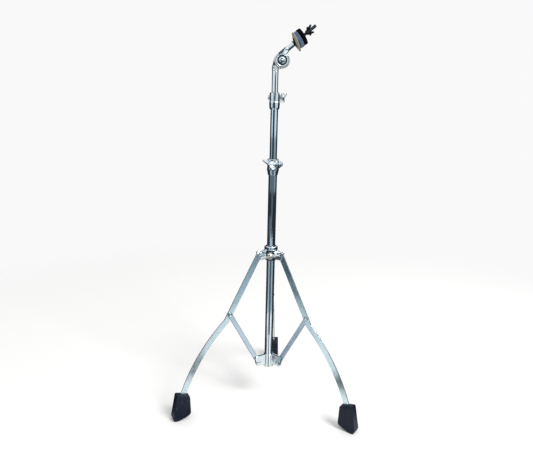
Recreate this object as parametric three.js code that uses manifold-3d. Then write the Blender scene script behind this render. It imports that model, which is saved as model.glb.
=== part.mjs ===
import * as THREE from 'three';
import { mergeVertices } from 'three/addons/utils/BufferGeometryUtils.js';
import Module from 'manifold-3d';

// A straight cymbal stand in millimetres, +Z up, standing on three rubber feet.
// Three tubes telescope in two clamping collars, a single-braced tripod of flat
// curved strips carries them, and a ratchet tilter holds the cymbal rod.
// Azimuths are in degrees, counted from -Y (the front) towards +X (the right).

const wasm = await Module();
wasm.setup();

const { degToRad } = THREE.MathUtils;

// Fits and cuts
const gap = 0.3;
const overrun = 2;
const rodClearance = 0.35;
const tinyStep = 0.01;
const drillReach = 20;

// Facets
const roundSides = 24;
const smallSides = 16;
const arcSteps = 8;

// Telescoping tubes
const tubeWall = 1.2;
const baseTube = { radius: 11, footLift: 1, top: 650 };
const middleTube = { radius: 9.5, top: 813, length: 400 };
const topTube = { radius: 8, top: 885.5, length: 330 };

// Height clamps: one casting shape on the base tube and a smaller one on the middle tube
const clamp = {
  skirtHeight: 18,
  height: 40.5,
  tubeSeat: 20,
  lip: 1.6,
  edge: 1.2,
  earReach: 27,
  boltReach: 20,
  earHalf: 7.5,
  earRound: 6,
  slitHalf: 1.4,
  bushingWall: 2.2,
  bushingRim: 1.4,
};
const baseClamp = { azimuth: 34, skirtFoot: 12.4, skirtTop: 15.4, radius: 14.8, wingTurn: 68 };
const upperClamp = { azimuth: -170, skirtFoot: 10.8, skirtTop: 13.3, radius: 12.7, wingTurn: 67 };

// Wing bolts and nuts of the clamps
const boltRadius = 3.9;
const wing = {
  hubRadius: 6.6,
  collarRadius: 7,
  collarHeight: 2.5,
  hubTop: 17.5,
  span: 54,
  thickness: 5.4,
  rootLow: 6,
  tipLow: 9,
  tipHigh: 22,
  saddle: 18.5,
  sweepShare: 0.45,
  crestShare: 0.55,
  tipRound: 5,
  bevel: 1.2,
};
const nut = { radius: 6.8, height: 5.8, flangeRadius: 6.9, flangeHeight: 1.4, sides: 6 };
const boltTail = 1.2;

// Tripod: pins P on the sliding collar, K at the knee and H on the bottom hub
const pinP = { reach: 32, height: 425 };
const pinK = { reach: 115, height: 267.4 };
const pinH = { reach: 31.6, height: 118 };
const sides = [
  { name: 'rear', azimuth: 180 },
  { name: 'right', azimuth: 60 },
  { name: 'left', azimuth: -60 },
];
const strip = { thickness: 3, pinRadius: 2.6, sideGap: 0.8 };
const leg = {
  width: 16,
  kneeRun: 16,
  kneeBendRadius: 26,
  kneeBend: 18,
  archLength: 214,
  archTurn: 26,
  toeLength: 34,
  holeSlack: 1.2,
};
const strut = { width: 12.5 };
const rivet = { headRadius: 5.4, headHeight: 2, crownShare: 0.72, tailRadius: 4.6, tailHeight: 1.5 };

// Sliding leg collar; its heights are counted from the pins that it carries
const collar = {
  footBelow: 19,
  height: 38,
  radius: 15.6,
  ringRadius: 17.6,
  ringHeight: 10,
  edge: 1.6,
  travelGap: 1.1,
  bushingWall: 1.7,
  bushingInset: 3,
  earBelow: 15,
  earAbove: 9,
  earFoot: 3,
  earTip: 8.5,
  cheek: 2.6,
  slotRoom: 1.6,
  bossRadius: 8.2,
  bossReach: 23,
  boltBelow: 1.5,
  wingHub: 8.6,
  wingTurn: 14,
};
const shoe = { radius: 4.2, length: 2.4 };

// Bottom hub, its cross pin and the tube plug; heights are counted from its pins
const hub = {
  footBelow: 16,
  height: 37,
  radius: 13.4,
  edge: 1.2,
  earBelow: 9,
  earAbove: 20,
  earFoot: 5,
  earTip: 11.5,
  cheek: 2.6,
  slotRoom: 1.6,
};
const crossPin = { radius: 2, below: 8, azimuth: 90, stickOut: 0.6 };
const plug = { height: 10, rim: 1.8, hollow: 6, wall: 2 };

// Rubber foot, placed from the point where the leg enters it
const foot = {
  width: 27,
  topWidth: 23,
  bevel: 3,
  topInner: [-14.5, -5.5],
  topOuter: [20.5, 2.5],
  heelOuter: [31.5, -59],
  solePoint: [29, -68.5],
  soleInner: [17, -68.5],
  heelInner: [-13, -57.5],
  shinInner: [-16.5, -52],
  pocketGap: 0.35,
};

// Ratchet tilter; its pivot stands beside the tube axis, above the top tube
const tilter = {
  azimuth: 9.5,
  offset: 15.5,
  lift: 25,
  tilt: 50.5,
  discRadius: 19.5,
  discDepth: 9.2,
  faceGap: 0.4,
  swingGap: 0.8,
  rim: 2,
  groove: 1.6,
  grooveDepth: 1.4,
  dishRadius: 12.2,
  dishDepth: 3.4,
  bossRadius: 6,
  springSeat: 3.2,
  springSeatRadius: 6.6,
  socketHeight: 12.5,
  socketRadius: 8.4,
  spigotLength: 18,
  webLift: 4.5,
  webShare: 0.86,
};
const tilterBolt = { headRadius: 6, headHeight: 4.6, dome: 1.6, washerRadius: 10.6, washerHeight: 1.5 };
const tilterSpring = { radius: 5.1, wire: 0.6, turns: 2 };
const rearWing = {
  span: 36,
  hubRadius: 6.4,
  height: 15,
  thickness: 5,
  rootShare: 0.38,
  saddleShare: 0.78,
  sweepShare: 0.75,
  crestShare: 0.5,
};

// Cymbal rod and what is stacked on it, measured along the rod from the pivot
const arm = {
  barrelRadius: 6.4,
  stepAt: 24.5,
  stepHeight: 2.2,
  stepRadius: 7.6,
  barrelTop: 45.6,
  neckRight: 4.5,
  neckHalf: 6,
  socketDepth: 22,
};
const rod = { radius: 4, end: 115.5, tipChamfer: 0.9 };
const sleeve = { radius: 5.6, flangeRadius: 7.6, flangeHeight: 1.3, top: 74.5 };
const stack = { cupDroop: 12.8, feltDroop: 6, seat: 0.3, cupSeat: 1, holeRadius: 7.1 };
const cup = { radius: 24.3, depth: 4.6, wall: 1.2, hubRadius: 9.5 };
const lowerFelt = { radius: 20.8, height: 9.4, edge: 1.2 };
const upperFelt = { radius: 20.8, height: 10.2, edge: 1.2 };
const topNut = {
  foot: 86.5,
  hubRadius: 6.2,
  height: 11,
  span: 29,
  wingLow: 3,
  wingHigh: 19,
  notch: 12,
  waist: 11,
  thickness: 5,
  turn: 48,
};

// Colours of the photographed object
const finish = (color, roughness, metalness) => new THREE.MeshStandardMaterial({ color, roughness, metalness });
const chrome = finish(0xc4d0d6, 0.14, 1);
const castChrome = finish(0xd2dde0, 0.2, 1);
const zinc = finish(0xa9bcc6, 0.32, 1);
const nickel = finish(0xd7d6cc, 0.26, 1);
const steel = finish(0x6f7c80, 0.4, 1);
const rubber = finish(0x1c2230, 0.7, 0);
const nylon = finish(0x2a2d31, 0.5, 0);
const blackPlastic = finish(0x141518, 0.45, 0);
const blueFelt = finish(0x5c7194, 1, 0);
const blackFelt = finish(0x15141c, 1, 0);

// Solids and meshes

const stand = new THREE.Group();

function addMesh(parent, name, geometry, material) {
  const mesh = new THREE.Mesh(geometry, material);
  mesh.name = name;
  parent.add(mesh);
  return mesh;
}

function toSolid(geometry) {
  const bare = geometry.clone();
  bare.deleteAttribute('normal');
  bare.deleteAttribute('uv');
  const merged = mergeVertices(bare, 1e-4);
  const vertProperties = new Float32Array(merged.attributes.position.array);
  const triVerts = new Uint32Array(merged.index.array);
  return new wasm.Manifold(new wasm.Mesh({ numProp: 3, vertProperties, triVerts }));
}

function toGeometry(solid) {
  const mesh = solid.getMesh();
  const geometry = new THREE.BufferGeometry();
  geometry.setAttribute('position', new THREE.BufferAttribute(mesh.vertProperties, 3));
  geometry.setIndex(new THREE.BufferAttribute(mesh.triVerts, 1));
  geometry.computeVertexNormals();
  return geometry;
}

function joined(...geometries) {
  return geometries.map(toSolid).reduce((whole, piece) => whole.add(piece));
}

function cut(whole, ...geometries) {
  return toGeometry(geometries.map(toSolid).reduce((rest, piece) => rest.subtract(piece), whole));
}

// A solid of revolution about Z from [radius, height] points, listed from the bottom axis
// up the outside; a ring's profile closes on itself.
function turned(profile, steps = roundSides) {
  const points = profile.map(([radius, height]) => new THREE.Vector2(radius, height));
  return new THREE.LatheGeometry(points, steps).rotateX(Math.PI / 2);
}

function rod3(radius, low, high, steps = roundSides) {
  return turned([[0, low], [radius, low], [radius, high], [0, high]], steps);
}

function ring(inner, outer, low, high, steps = roundSides) {
  return turned([[inner, low], [outer, low], [outer, high], [inner, high], [inner, low]], steps);
}

function alongX(geometry) {
  return geometry.rotateY(Math.PI / 2);
}

// Turns a solid about Z into one about Y that points towards -Y, the front.
function towardsFront(geometry) {
  return geometry.rotateX(Math.PI / 2);
}

// A plate in the XZ plane, its thickness centred on y = offset.
function plate(shape, thickness, offset = 0, bevel = 0, bevelSegments = 2) {
  const settings = {
    depth: thickness - 2 * bevel,
    bevelEnabled: bevel > 0,
    bevelThickness: bevel,
    bevelSize: bevel,
    bevelOffset: -bevel,
    bevelSegments,
    curveSegments: arcSteps,
  };
  const geometry = new THREE.ExtrudeGeometry(shape, settings);
  geometry.translate(0, 0, bevel - thickness / 2);
  return geometry.rotateX(Math.PI / 2).translate(0, offset, 0);
}

function block(width, depth, height, x, y, z) {
  return new THREE.BoxGeometry(width, depth, height).translate(x, y, z);
}

// Spans from low to high along X, Y and Z.
function slab(low, high) {
  const size = high.map((value, axis) => value - low[axis]);
  const middle = high.map((value, axis) => (value + low[axis]) / 2);
  return block(...size, ...middle);
}

// Points along an arc, both ends included.
function arcPoints(x, z, radius, from, to) {
  return Array.from({ length: arcSteps + 1 }, (unused, step) => {
    const angle = from + (to - from) * step / arcSteps;
    return [x + radius * Math.cos(angle), z + radius * Math.sin(angle)];
  });
}

// A closed outline through points, dropping any that repeats the one before it.
function outlineOf(points) {
  const apart = (first, second) => Math.hypot(first[0] - second[0], first[1] - second[1]) > tinyStep;
  const kept = points.filter((point, index) => apart(point, points[(index + 1) % points.length]));
  return new THREE.Shape(kept.map(([x, z]) => new THREE.Vector2(x, z)));
}

function radialGroup(parent, azimuth) {
  const group = new THREE.Group();
  group.rotation.z = degToRad(azimuth) - Math.PI / 2;
  parent.add(group);
  return group;
}

// A drilled hole through a plate, along Y.
function drill(x, z, radius) {
  return rod3(radius, -drillReach, drillReach, smallSides).rotateX(Math.PI / 2).translate(x, 0, z);
}

// Tubes and the plastic bushings that centre them

function makeTube(name, tube, low, high) {
  addMesh(stand, name, ring(tube.radius - tubeWall, tube.radius, low, high), chrome);
}

const hubFoot = pinH.height - hub.footBelow;
const baseTubeFoot = hubFoot + baseTube.footLift;

makeTube('base_tube', baseTube, baseTubeFoot, baseTube.top);
makeTube('middle_tube', middleTube, middleTube.top - middleTube.length, middleTube.top);
makeTube('top_tube', topTube, topTube.top - topTube.length, topTube.top);

function makeClampBushing(name, outerTube, innerTube) {
  const inner = innerTube.radius + gap / 2;
  const outer = outerTube.radius + clamp.bushingWall - gap;
  const low = outerTube.top + gap;
  const high = outerTube.top - clamp.tubeSeat + clamp.height;
  const rim = outer - clamp.bushingRim;
  const profile = [[inner, low], [outer, low], [outer, high], [rim, high + clamp.bushingRim]];
  profile.push([inner, high + clamp.bushingRim], [inner, low]);
  addMesh(stand, name, turned(profile), nylon);
}

makeClampBushing('base_bushing', baseTube, middleTube);
makeClampBushing('upper_bushing', middleTube, topTube);

// Clamping collars: a tapered skirt round the lower tube, a split clamp above it and two
// ears drawn together by a wing bolt.

function clampCasting(outerTube, sizes) {
  const bore = outerTube.radius + clamp.bushingWall;
  const seat = outerTube.radius + gap / 2;
  const { skirtHeight, height, edge, lip } = clamp;
  const body = turned([
    [seat, 0],
    [sizes.skirtFoot, 0],
    [sizes.skirtTop, skirtHeight - lip],
    [sizes.skirtTop, skirtHeight],
    [sizes.radius, skirtHeight + edge],
    [sizes.radius, height - edge],
    [sizes.radius - edge, height],
    [bore, height],
    [bore, clamp.tubeSeat],
    [seat, clamp.tubeSeat],
    [seat, 0],
  ]);
  const low = skirtHeight + edge;
  const high = height - edge;
  const earX = clamp.earReach - clamp.earRound;
  const ear = outlineOf([
    [bore, low],
    ...arcPoints(earX, low + clamp.earRound, clamp.earRound, -Math.PI / 2, 0),
    ...arcPoints(earX, high - clamp.earRound, clamp.earRound, 0, Math.PI / 2),
    [bore, high],
  ]);
  const ears = plate(ear, 2 * clamp.earHalf, 0, edge / 2, 1);
  const boreCut = rod3(bore, clamp.tubeSeat, height + overrun);
  const slit = slab(
    [0, -clamp.slitHalf, skirtHeight + edge / 2],
    [clamp.earReach + overrun, clamp.slitHalf, height + overrun],
  );
  const boltHeight = clampBoltHeight();
  const boltHole = towardsFront(rod3(boltRadius + rodClearance, -clamp.earReach, clamp.earReach, smallSides));
  boltHole.translate(clamp.boltReach, 0, boltHeight);
  return cut(joined(body, ears), boreCut, slit, boltHole);
}

function clampBoltHeight() {
  return (clamp.skirtHeight + clamp.height) / 2;
}

// A wing bolt along +Z: the shank points down from the flange at z = 0.
function wingBolt(shankLength, hubRadius = wing.hubRadius) {
  const half = wing.span / 2;
  const round = wing.tipRound;
  const middle = (wing.tipLow + wing.tipHigh) / 2;
  const outline = new THREE.Shape();
  outline.moveTo(-hubRadius, wing.rootLow);
  outline.lineTo(hubRadius, wing.rootLow);
  outline.quadraticCurveTo(half * wing.sweepShare, wing.tipLow, half - round / 2, wing.tipLow);
  outline.quadraticCurveTo(half, wing.tipLow + round / 2, half, middle);
  outline.quadraticCurveTo(half, wing.tipHigh, half - round, wing.tipHigh);
  outline.quadraticCurveTo(half * wing.crestShare, wing.tipHigh, hubRadius, wing.saddle);
  outline.lineTo(-hubRadius, wing.saddle);
  outline.quadraticCurveTo(-half * wing.crestShare, wing.tipHigh, -half + round, wing.tipHigh);
  outline.quadraticCurveTo(-half, wing.tipHigh, -half, middle);
  outline.quadraticCurveTo(-half, wing.tipLow + round / 2, -half + round / 2, wing.tipLow);
  outline.quadraticCurveTo(-half * wing.sweepShare, wing.tipLow, -hubRadius, wing.rootLow);
  const wings = plate(outline, wing.thickness, 0, wing.bevel, 1);
  const hubSolid = turned([
    [0, 0],
    [Math.max(wing.collarRadius, hubRadius), 0],
    [Math.max(wing.collarRadius, hubRadius), wing.collarHeight],
    [hubRadius, wing.collarHeight + wing.bevel],
    [hubRadius, wing.hubTop - wing.bevel],
    [hubRadius - wing.bevel, wing.hubTop],
    [0, wing.hubTop],
  ], smallSides);
  const shank = rod3(boltRadius, -shankLength, wing.collarHeight, smallSides);
  return toGeometry(joined(hubSolid, shank, wings));
}

function hexNut(boreRadius) {
  const body = rod3(nut.radius, 0, nut.height, nut.sides);
  const flange = rod3(nut.flangeRadius, 0, nut.flangeHeight, smallSides);
  const bore = rod3(boreRadius, -overrun, nut.height + overrun, smallSides);
  return cut(joined(body, flange), bore);
}

function makeClamp(prefix, outerTube, sizes) {
  const group = radialGroup(stand, sizes.azimuth);
  group.position.z = outerTube.top - clamp.tubeSeat;
  addMesh(group, `${prefix}_collar`, clampCasting(outerTube, sizes), castChrome);

  const bolt = new THREE.Group();
  bolt.position.set(clamp.boltReach, -clamp.earHalf - gap, clampBoltHeight());
  bolt.rotation.x = Math.PI / 2;
  group.add(bolt);
  const shankLength = 2 * clamp.earHalf + 2 * gap + nut.height + boltTail;
  const screw = addMesh(bolt, `${prefix}_wing_bolt`, wingBolt(shankLength), castChrome);
  screw.rotation.z = degToRad(sizes.wingTurn) - Math.PI / 2;

  const nutMesh = addMesh(group, `${prefix}_clamp_nut`, hexNut(boltRadius + gap), zinc);
  nutMesh.position.set(clamp.boltReach, clamp.earHalf + gap, clampBoltHeight());
  nutMesh.rotation.x = -Math.PI / 2;
}

makeClamp('base', baseTube, baseClamp);
makeClamp('upper', middleTube, upperClamp);

// Tripod strips. Each leg lies just to one side of its radial plane and each strut to the
// other, so that they pass each other at the knee.

const legOffset = -(strip.thickness + gap) / 2;
const strutOffset = (strip.thickness + gap) / 2;
const legLean = Math.atan2(pinK.reach - pinP.reach, pinP.height - pinK.height);

// Points along a leg's centre line with their headings, as angles from straight down.
function legPath() {
  const upper = Math.hypot(pinK.reach - pinP.reach, pinP.height - pinK.height);
  const bend = degToRad(leg.kneeBend);
  const stretches = [
    { length: upper + leg.kneeRun, turn: 0, steps: 1 },
    { length: leg.kneeBendRadius * bend, turn: bend, steps: 3 },
    { length: leg.archLength, turn: -degToRad(leg.archTurn), steps: 2 * arcSteps },
    { length: leg.toeLength, turn: 0, steps: 1 },
  ];
  let x = pinP.reach;
  let z = pinP.height;
  let heading = legLean;
  const path = [{ x, z, heading, entry: false }];
  for (const stretch of stretches) {
    for (let step = 0; step < stretch.steps; step += 1) {
      const turn = stretch.turn / stretch.steps;
      const length = stretch.length / stretch.steps;
      x += Math.sin(heading + turn / 2) * length;
      z -= Math.cos(heading + turn / 2) * length;
      heading += turn;
      path.push({ x, z, heading });
    }
  }
  return path;
}

const path = legPath();
const legEntry = path[path.length - 2];

// The strip's outline round a path, with a round end at its first point.
function stripShape(points, halfWidth) {
  const side = (sign) => points.map(({ x, z, heading }) => [
    x + sign * halfWidth * Math.cos(heading),
    z + sign * halfWidth * Math.sin(heading),
  ]);
  const { x, z, heading } = points[0];
  const end = arcPoints(x, z, halfWidth, heading + Math.PI, heading);
  return outlineOf([...side(1), ...side(-1).reverse(), ...end]);
}

function legShape(halfWidth) {
  return stripShape(path, halfWidth);
}

function strutShape(halfWidth) {
  const heading = Math.atan2(pinH.reach - pinK.reach, pinK.height - pinH.height);
  return outlineOf([
    ...arcPoints(pinK.reach, pinK.height, halfWidth, heading, heading + Math.PI),
    ...arcPoints(pinH.reach, pinH.height, halfWidth, heading + Math.PI, heading + 2 * Math.PI),
  ]);
}

function crossPin3(pin, halfLength, offset, parent, name, headRadius, material) {
  const head = rivet.headHeight;
  const profile = [
    [0, -halfLength - head],
    [headRadius * rivet.crownShare, -halfLength - head],
    [headRadius, -halfLength - head / 2],
    [headRadius, -halfLength],
    [strip.pinRadius, -halfLength],
    [strip.pinRadius, halfLength],
    [rivet.tailRadius, halfLength],
    [rivet.tailRadius, halfLength + rivet.tailHeight],
    [0, halfLength + rivet.tailHeight],
  ];
  const geometry = turned(profile, smallSides).rotateX(-Math.PI / 2);
  geometry.translate(pin.reach, offset, pin.height);
  addMesh(parent, name, geometry, material);
}

function footShape() {
  const shape = new THREE.Shape();
  const corners = [
    foot.topInner,
    foot.shinInner,
    foot.heelInner,
    foot.soleInner,
    foot.solePoint,
    foot.heelOuter,
    foot.topOuter,
  ];
  corners.forEach(([x, z], index) => {
    if (index === 0) {
      shape.moveTo(legEntry.x + x, legEntry.z + z);
    } else {
      shape.lineTo(legEntry.x + x, legEntry.z + z);
    }
  });
  return shape;
}

function footGeometry() {
  const body = plate(footShape(), foot.width, legOffset, foot.bevel, 2);
  const position = body.attributes.position;
  const top = legEntry.z + foot.topOuter[1];
  const bottom = legEntry.z + foot.solePoint[1];
  for (let index = 0; index < position.count; index += 1) {
    const share = (position.getZ(index) - bottom) / (top - bottom);
    const width = THREE.MathUtils.lerp(foot.width, foot.topWidth, share);
    position.setY(index, legOffset + (position.getY(index) - legOffset) * width / foot.width);
  }
  const pocketPath = path.slice(-4);
  const last = pocketPath[pocketPath.length - 1];
  const deeper = {
    x: last.x + Math.sin(last.heading) * foot.pocketGap,
    z: last.z - Math.cos(last.heading) * foot.pocketGap,
    heading: last.heading,
  };
  const pocketShape = stripShape([...pocketPath, deeper], leg.width / 2 + foot.pocketGap);
  const pocket = plate(pocketShape, strip.thickness + 2 * foot.pocketGap, legOffset);
  return cut(toSolid(body), pocket);
}

const legCheekHalf = strip.thickness / 2 + strip.sideGap;

for (const { name, azimuth } of sides) {
  const group = radialGroup(stand, azimuth);
  const kneeHole = drill(pinK.reach, pinK.height, strip.pinRadius + gap);
  const legPlate = plate(legShape(leg.width / 2), strip.thickness, legOffset);
  const collarHole = drill(pinP.reach, pinP.height, strip.pinRadius + leg.holeSlack);
  addMesh(group, `${name}_leg`, cut(toSolid(legPlate), kneeHole, collarHole), zinc);

  const strutPlate = plate(strutShape(strut.width / 2), strip.thickness, strutOffset);
  const hubHole = drill(pinH.reach, pinH.height, strip.pinRadius + gap);
  addMesh(group, `${name}_strut`, cut(toSolid(strutPlate), kneeHole, hubHole), zinc);

  addMesh(group, `${name}_foot`, footGeometry(), rubber);

  const kneeHalf = strip.thickness + gap / 2 + gap;
  crossPin3(pinK, kneeHalf, 0, group, `${name}_knee_rivet`, rivet.headRadius, steel);
  const collarHalf = legCheekHalf + collar.cheek + gap;
  crossPin3(pinP, collarHalf, legOffset, group, `${name}_collar_pin`, rivet.headRadius, steel);
  const hubHalf = legCheekHalf + hub.cheek + gap;
  crossPin3(pinH, hubHalf, strutOffset, group, `${name}_hub_pin`, rivet.headRadius, steel);
}

// Clevis ears for a ring of three strips

// A cheek from the sleeve out past its pin: level edges and a slanted, cornered end.
function earShape(inner, pin, sizes) {
  const tip = pin.reach + sizes.earTip;
  const corner = sizes.earTip - sizes.earFoot;
  const low = pin.height - sizes.earBelow;
  const high = pin.height + sizes.earAbove;
  return outlineOf([
    [inner, low],
    [pin.reach + sizes.earFoot, low],
    [tip, high - corner],
    [tip - corner / 2, high - corner / 3],
    [inner, high],
  ]);
}

function aimed(geometry, azimuth) {
  return geometry.rotateZ(degToRad(azimuth) - Math.PI / 2);
}

function clevisPieces(pin, sizes, innerRadius, offset) {
  const ears = [];
  const cuts = [];
  const width = 2 * (legCheekHalf + sizes.cheek);
  const low = pin.height - sizes.footBelow;
  for (const { azimuth } of sides) {
    const outline = earShape(innerRadius, pin, sizes);
    ears.push(aimed(plate(outline, width, offset), azimuth));
    const slot = slab(
      [sizes.radius + sizes.slotRoom, offset - legCheekHalf, low - overrun],
      [pin.reach + sizes.earTip + overrun, offset + legCheekHalf, low + sizes.height + overrun],
    );
    cuts.push(aimed(slot, azimuth));
    const hole = rod3(strip.pinRadius + gap, -width, width, smallSides).rotateX(Math.PI / 2);
    hole.translate(pin.reach, offset, pin.height);
    cuts.push(aimed(hole, azimuth));
  }
  return { ears, cuts };
}

// Sliding leg collar with its bushing, wing bolt and pressure shoe

function makeLegCollar() {
  const inner = baseTube.radius + collar.travelGap;
  const bore = inner + collar.bushingWall + gap;
  const low = pinP.height - collar.footBelow;
  const top = low + collar.height;
  const boltHeight = pinP.height - collar.boltBelow;
  const ringLow = top - collar.ringHeight;
  const { radius, ringRadius, edge } = collar;
  const body = turned([
    [bore, low],
    [radius - edge, low],
    [radius, low + edge],
    [radius, ringLow - edge],
    [ringRadius, ringLow],
    [ringRadius, top - edge],
    [ringRadius - edge, top],
    [bore, top],
    [bore, low],
  ]);
  const { ears, cuts } = clevisPieces(pinP, collar, bore, legOffset);
  const boss = alongX(rod3(collar.bossRadius, bore, collar.bossReach, smallSides));
  const boltHole = alongX(rod3(boltRadius + rodClearance, 0, collar.bossReach + overrun, smallSides));
  const shoeHole = alongX(rod3(shoe.radius + gap, 0, radius, smallSides));
  for (const piece of [boss, boltHole, shoeHole]) {
    piece.translate(0, 0, boltHeight);
    aimed(piece, 0);
  }
  const boreCut = rod3(bore, low - overrun, top + overrun);
  const casting = cut(joined(body, boss, ...ears), boreCut, boltHole, ...cuts);
  addMesh(stand, 'leg_collar', casting, castChrome);

  const bushing = ring(inner, bore - gap, low + collar.bushingInset, top - collar.bushingInset);
  addMesh(stand, 'leg_collar_bushing', cut(toSolid(bushing), shoeHole), nylon);

  const front = radialGroup(stand, 0);
  const shoeStart = inner + gap;
  const shoeSolid = alongX(rod3(shoe.radius, shoeStart, bore - gap, smallSides));
  addMesh(front, 'pressure_shoe', shoeSolid.translate(0, 0, boltHeight), steel);

  const bolt = new THREE.Group();
  bolt.position.set(collar.bossReach + gap, 0, boltHeight);
  bolt.rotation.y = Math.PI / 2;
  front.add(bolt);
  const shankLength = collar.bossReach - bore - gap;
  const screw = addMesh(bolt, 'leg_wing_bolt', wingBolt(shankLength, collar.wingHub), nickel);
  screw.rotation.z = degToRad(90 + collar.wingTurn);
}

makeLegCollar();

// Bottom hub, pinned across the base tube

function makeHub() {
  const bore = baseTube.radius + gap;
  const top = hubFoot + hub.height;
  const pinHeight = pinH.height - crossPin.below;
  const { radius, edge } = hub;
  const body = turned([
    [bore, hubFoot],
    [radius - edge, hubFoot],
    [radius, hubFoot + edge],
    [radius, top - edge],
    [radius - edge, top],
    [bore, top],
    [bore, hubFoot],
  ]);
  const { ears, cuts } = clevisPieces(pinH, hub, bore, strutOffset);
  const boreCut = rod3(bore, hubFoot - overrun, top + overrun);
  const pinReach = radius + crossPin.stickOut;
  const pinHole = alongX(rod3(crossPin.radius + gap, -radius - overrun, radius + overrun, smallSides));
  pinHole.translate(0, 0, pinHeight);
  aimed(pinHole, crossPin.azimuth);
  addMesh(stand, 'bottom_hub', cut(joined(body, ...ears), boreCut, pinHole, ...cuts), castChrome);

  const pinSolid = alongX(rod3(crossPin.radius, -pinReach, pinReach, smallSides));
  pinSolid.translate(0, 0, pinHeight);
  addMesh(stand, 'hub_cross_pin', aimed(pinSolid, crossPin.azimuth), steel);

  const tube = stand.getObjectByName('base_tube');
  tube.geometry = cut(toSolid(tube.geometry), pinHole);

  const plugRadius = baseTube.radius - tubeWall - gap;
  const plugTop = pinHeight - crossPin.radius - gap;
  const plugFoot = baseTubeFoot - gap;
  addMesh(stand, 'tube_end_plug', turned([
    [0, plugFoot - plug.rim],
    [baseTube.radius - gap, plugFoot - plug.rim],
    [baseTube.radius - gap, plugFoot],
    [plugRadius, plugFoot],
    [plugRadius, plugTop],
    [0, plugTop],
  ]), blackPlastic);
}

makeHub();

// Ratchet tilter. In its group X is across the tube in the swing plane, -Y is the bolt
// head's side and the origin is the pivot.

const tilterGroup = new THREE.Group();
tilterGroup.rotation.z = degToRad(tilter.azimuth);
tilterGroup.position.set(
  tilter.offset * Math.cos(tilterGroup.rotation.z),
  tilter.offset * Math.sin(tilterGroup.rotation.z),
  topTube.top + tilter.lift,
);
stand.add(tilterGroup);

const boltHoleRadius = boltRadius + rodClearance;
const halfFace = tilter.faceGap / 2;

function discProfile(dished) {
  const { discRadius, discDepth, rim, groove, grooveDepth, dishRadius, dishDepth } = tilter;
  const face = halfFace;
  const back = halfFace + discDepth;
  const seat = face + tilter.springSeat;
  const points = [
    [boltHoleRadius, seat],
    [tilter.springSeatRadius, seat],
    [tilter.springSeatRadius, face],
    [discRadius, face],
    [discRadius, back],
    [discRadius - rim, back],
    [discRadius - rim, back - grooveDepth],
    [discRadius - rim - groove, back - grooveDepth],
    [discRadius - rim - groove, back],
    [dishRadius, back],
  ];
  const inner = dished ? back - dishDepth : back;
  points.push([dishRadius, inner], [boltHoleRadius, inner], [boltHoleRadius, seat]);
  return points.filter((point, index) => index === 0 || !samePoint(point, points[index - 1]));
}

function samePoint(first, second) {
  return first[0] === second[0] && first[1] === second[1];
}

function makeTilterLower() {
  const disc = turned(discProfile(true)).rotateX(-Math.PI / 2);
  const tubeX = -tilter.offset;
  const socketLow = gap - tilter.lift;
  const socketTop = tilter.socketHeight - tilter.lift;
  const spigotRadius = topTube.radius - tubeWall - gap;
  const socket = turned([
    [0, socketLow - tilter.spigotLength],
    [spigotRadius, socketLow - tilter.spigotLength],
    [spigotRadius, socketLow],
    [tilter.socketRadius, socketLow],
    [tilter.socketRadius, socketTop],
    [0, socketTop],
  ]).translate(tubeX, 0, 0);
  const back = halfFace + tilter.discDepth;
  const webLow = tilter.webLift - tilter.lift;
  const webLeft = tubeX - tilter.socketRadius * tilter.webShare;
  const webShape = new THREE.Shape();
  webShape.moveTo(webLeft, webLow);
  webShape.lineTo(tubeX + tilter.socketRadius, webLow);
  webShape.lineTo(0, -tilter.discRadius);
  webShape.lineTo(0, 0);
  webShape.lineTo(-tilter.discRadius, 0);
  webShape.lineTo(webLeft, socketTop);
  const web = plate(webShape, 2 * tilter.discDepth - tilter.rim, halfFace);
  const front = towardsFront(rod3(tilter.discRadius + tilter.swingGap, -halfFace, 2 * back));
  const seatCut = rod3(tilter.springSeatRadius, 0, halfFace + tilter.springSeat).rotateX(-Math.PI / 2);
  const dishCut = rod3(tilter.dishRadius, back - tilter.dishDepth, 2 * back).rotateX(-Math.PI / 2);
  const hole = rod3(boltHoleRadius, -back, 2 * back, smallSides).rotateX(-Math.PI / 2);
  const reach = tilter.offset + tilter.discRadius;
  const behind = slab([-reach, back, -2 * reach], [reach, 3 * back, 2 * reach]);
  const casting = cut(joined(disc, socket, web), front, seatCut, dishCut, hole, behind);
  addMesh(tilterGroup, 'tilter_lower', casting, castChrome);
}

makeTilterLower();

const armGroup = new THREE.Group();
armGroup.rotation.y = degToRad(tilter.tilt);
tilterGroup.add(armGroup);

const rodX = -(tilter.discRadius - arm.barrelRadius);
const rodFoot = arm.barrelTop - arm.socketDepth;

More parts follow.
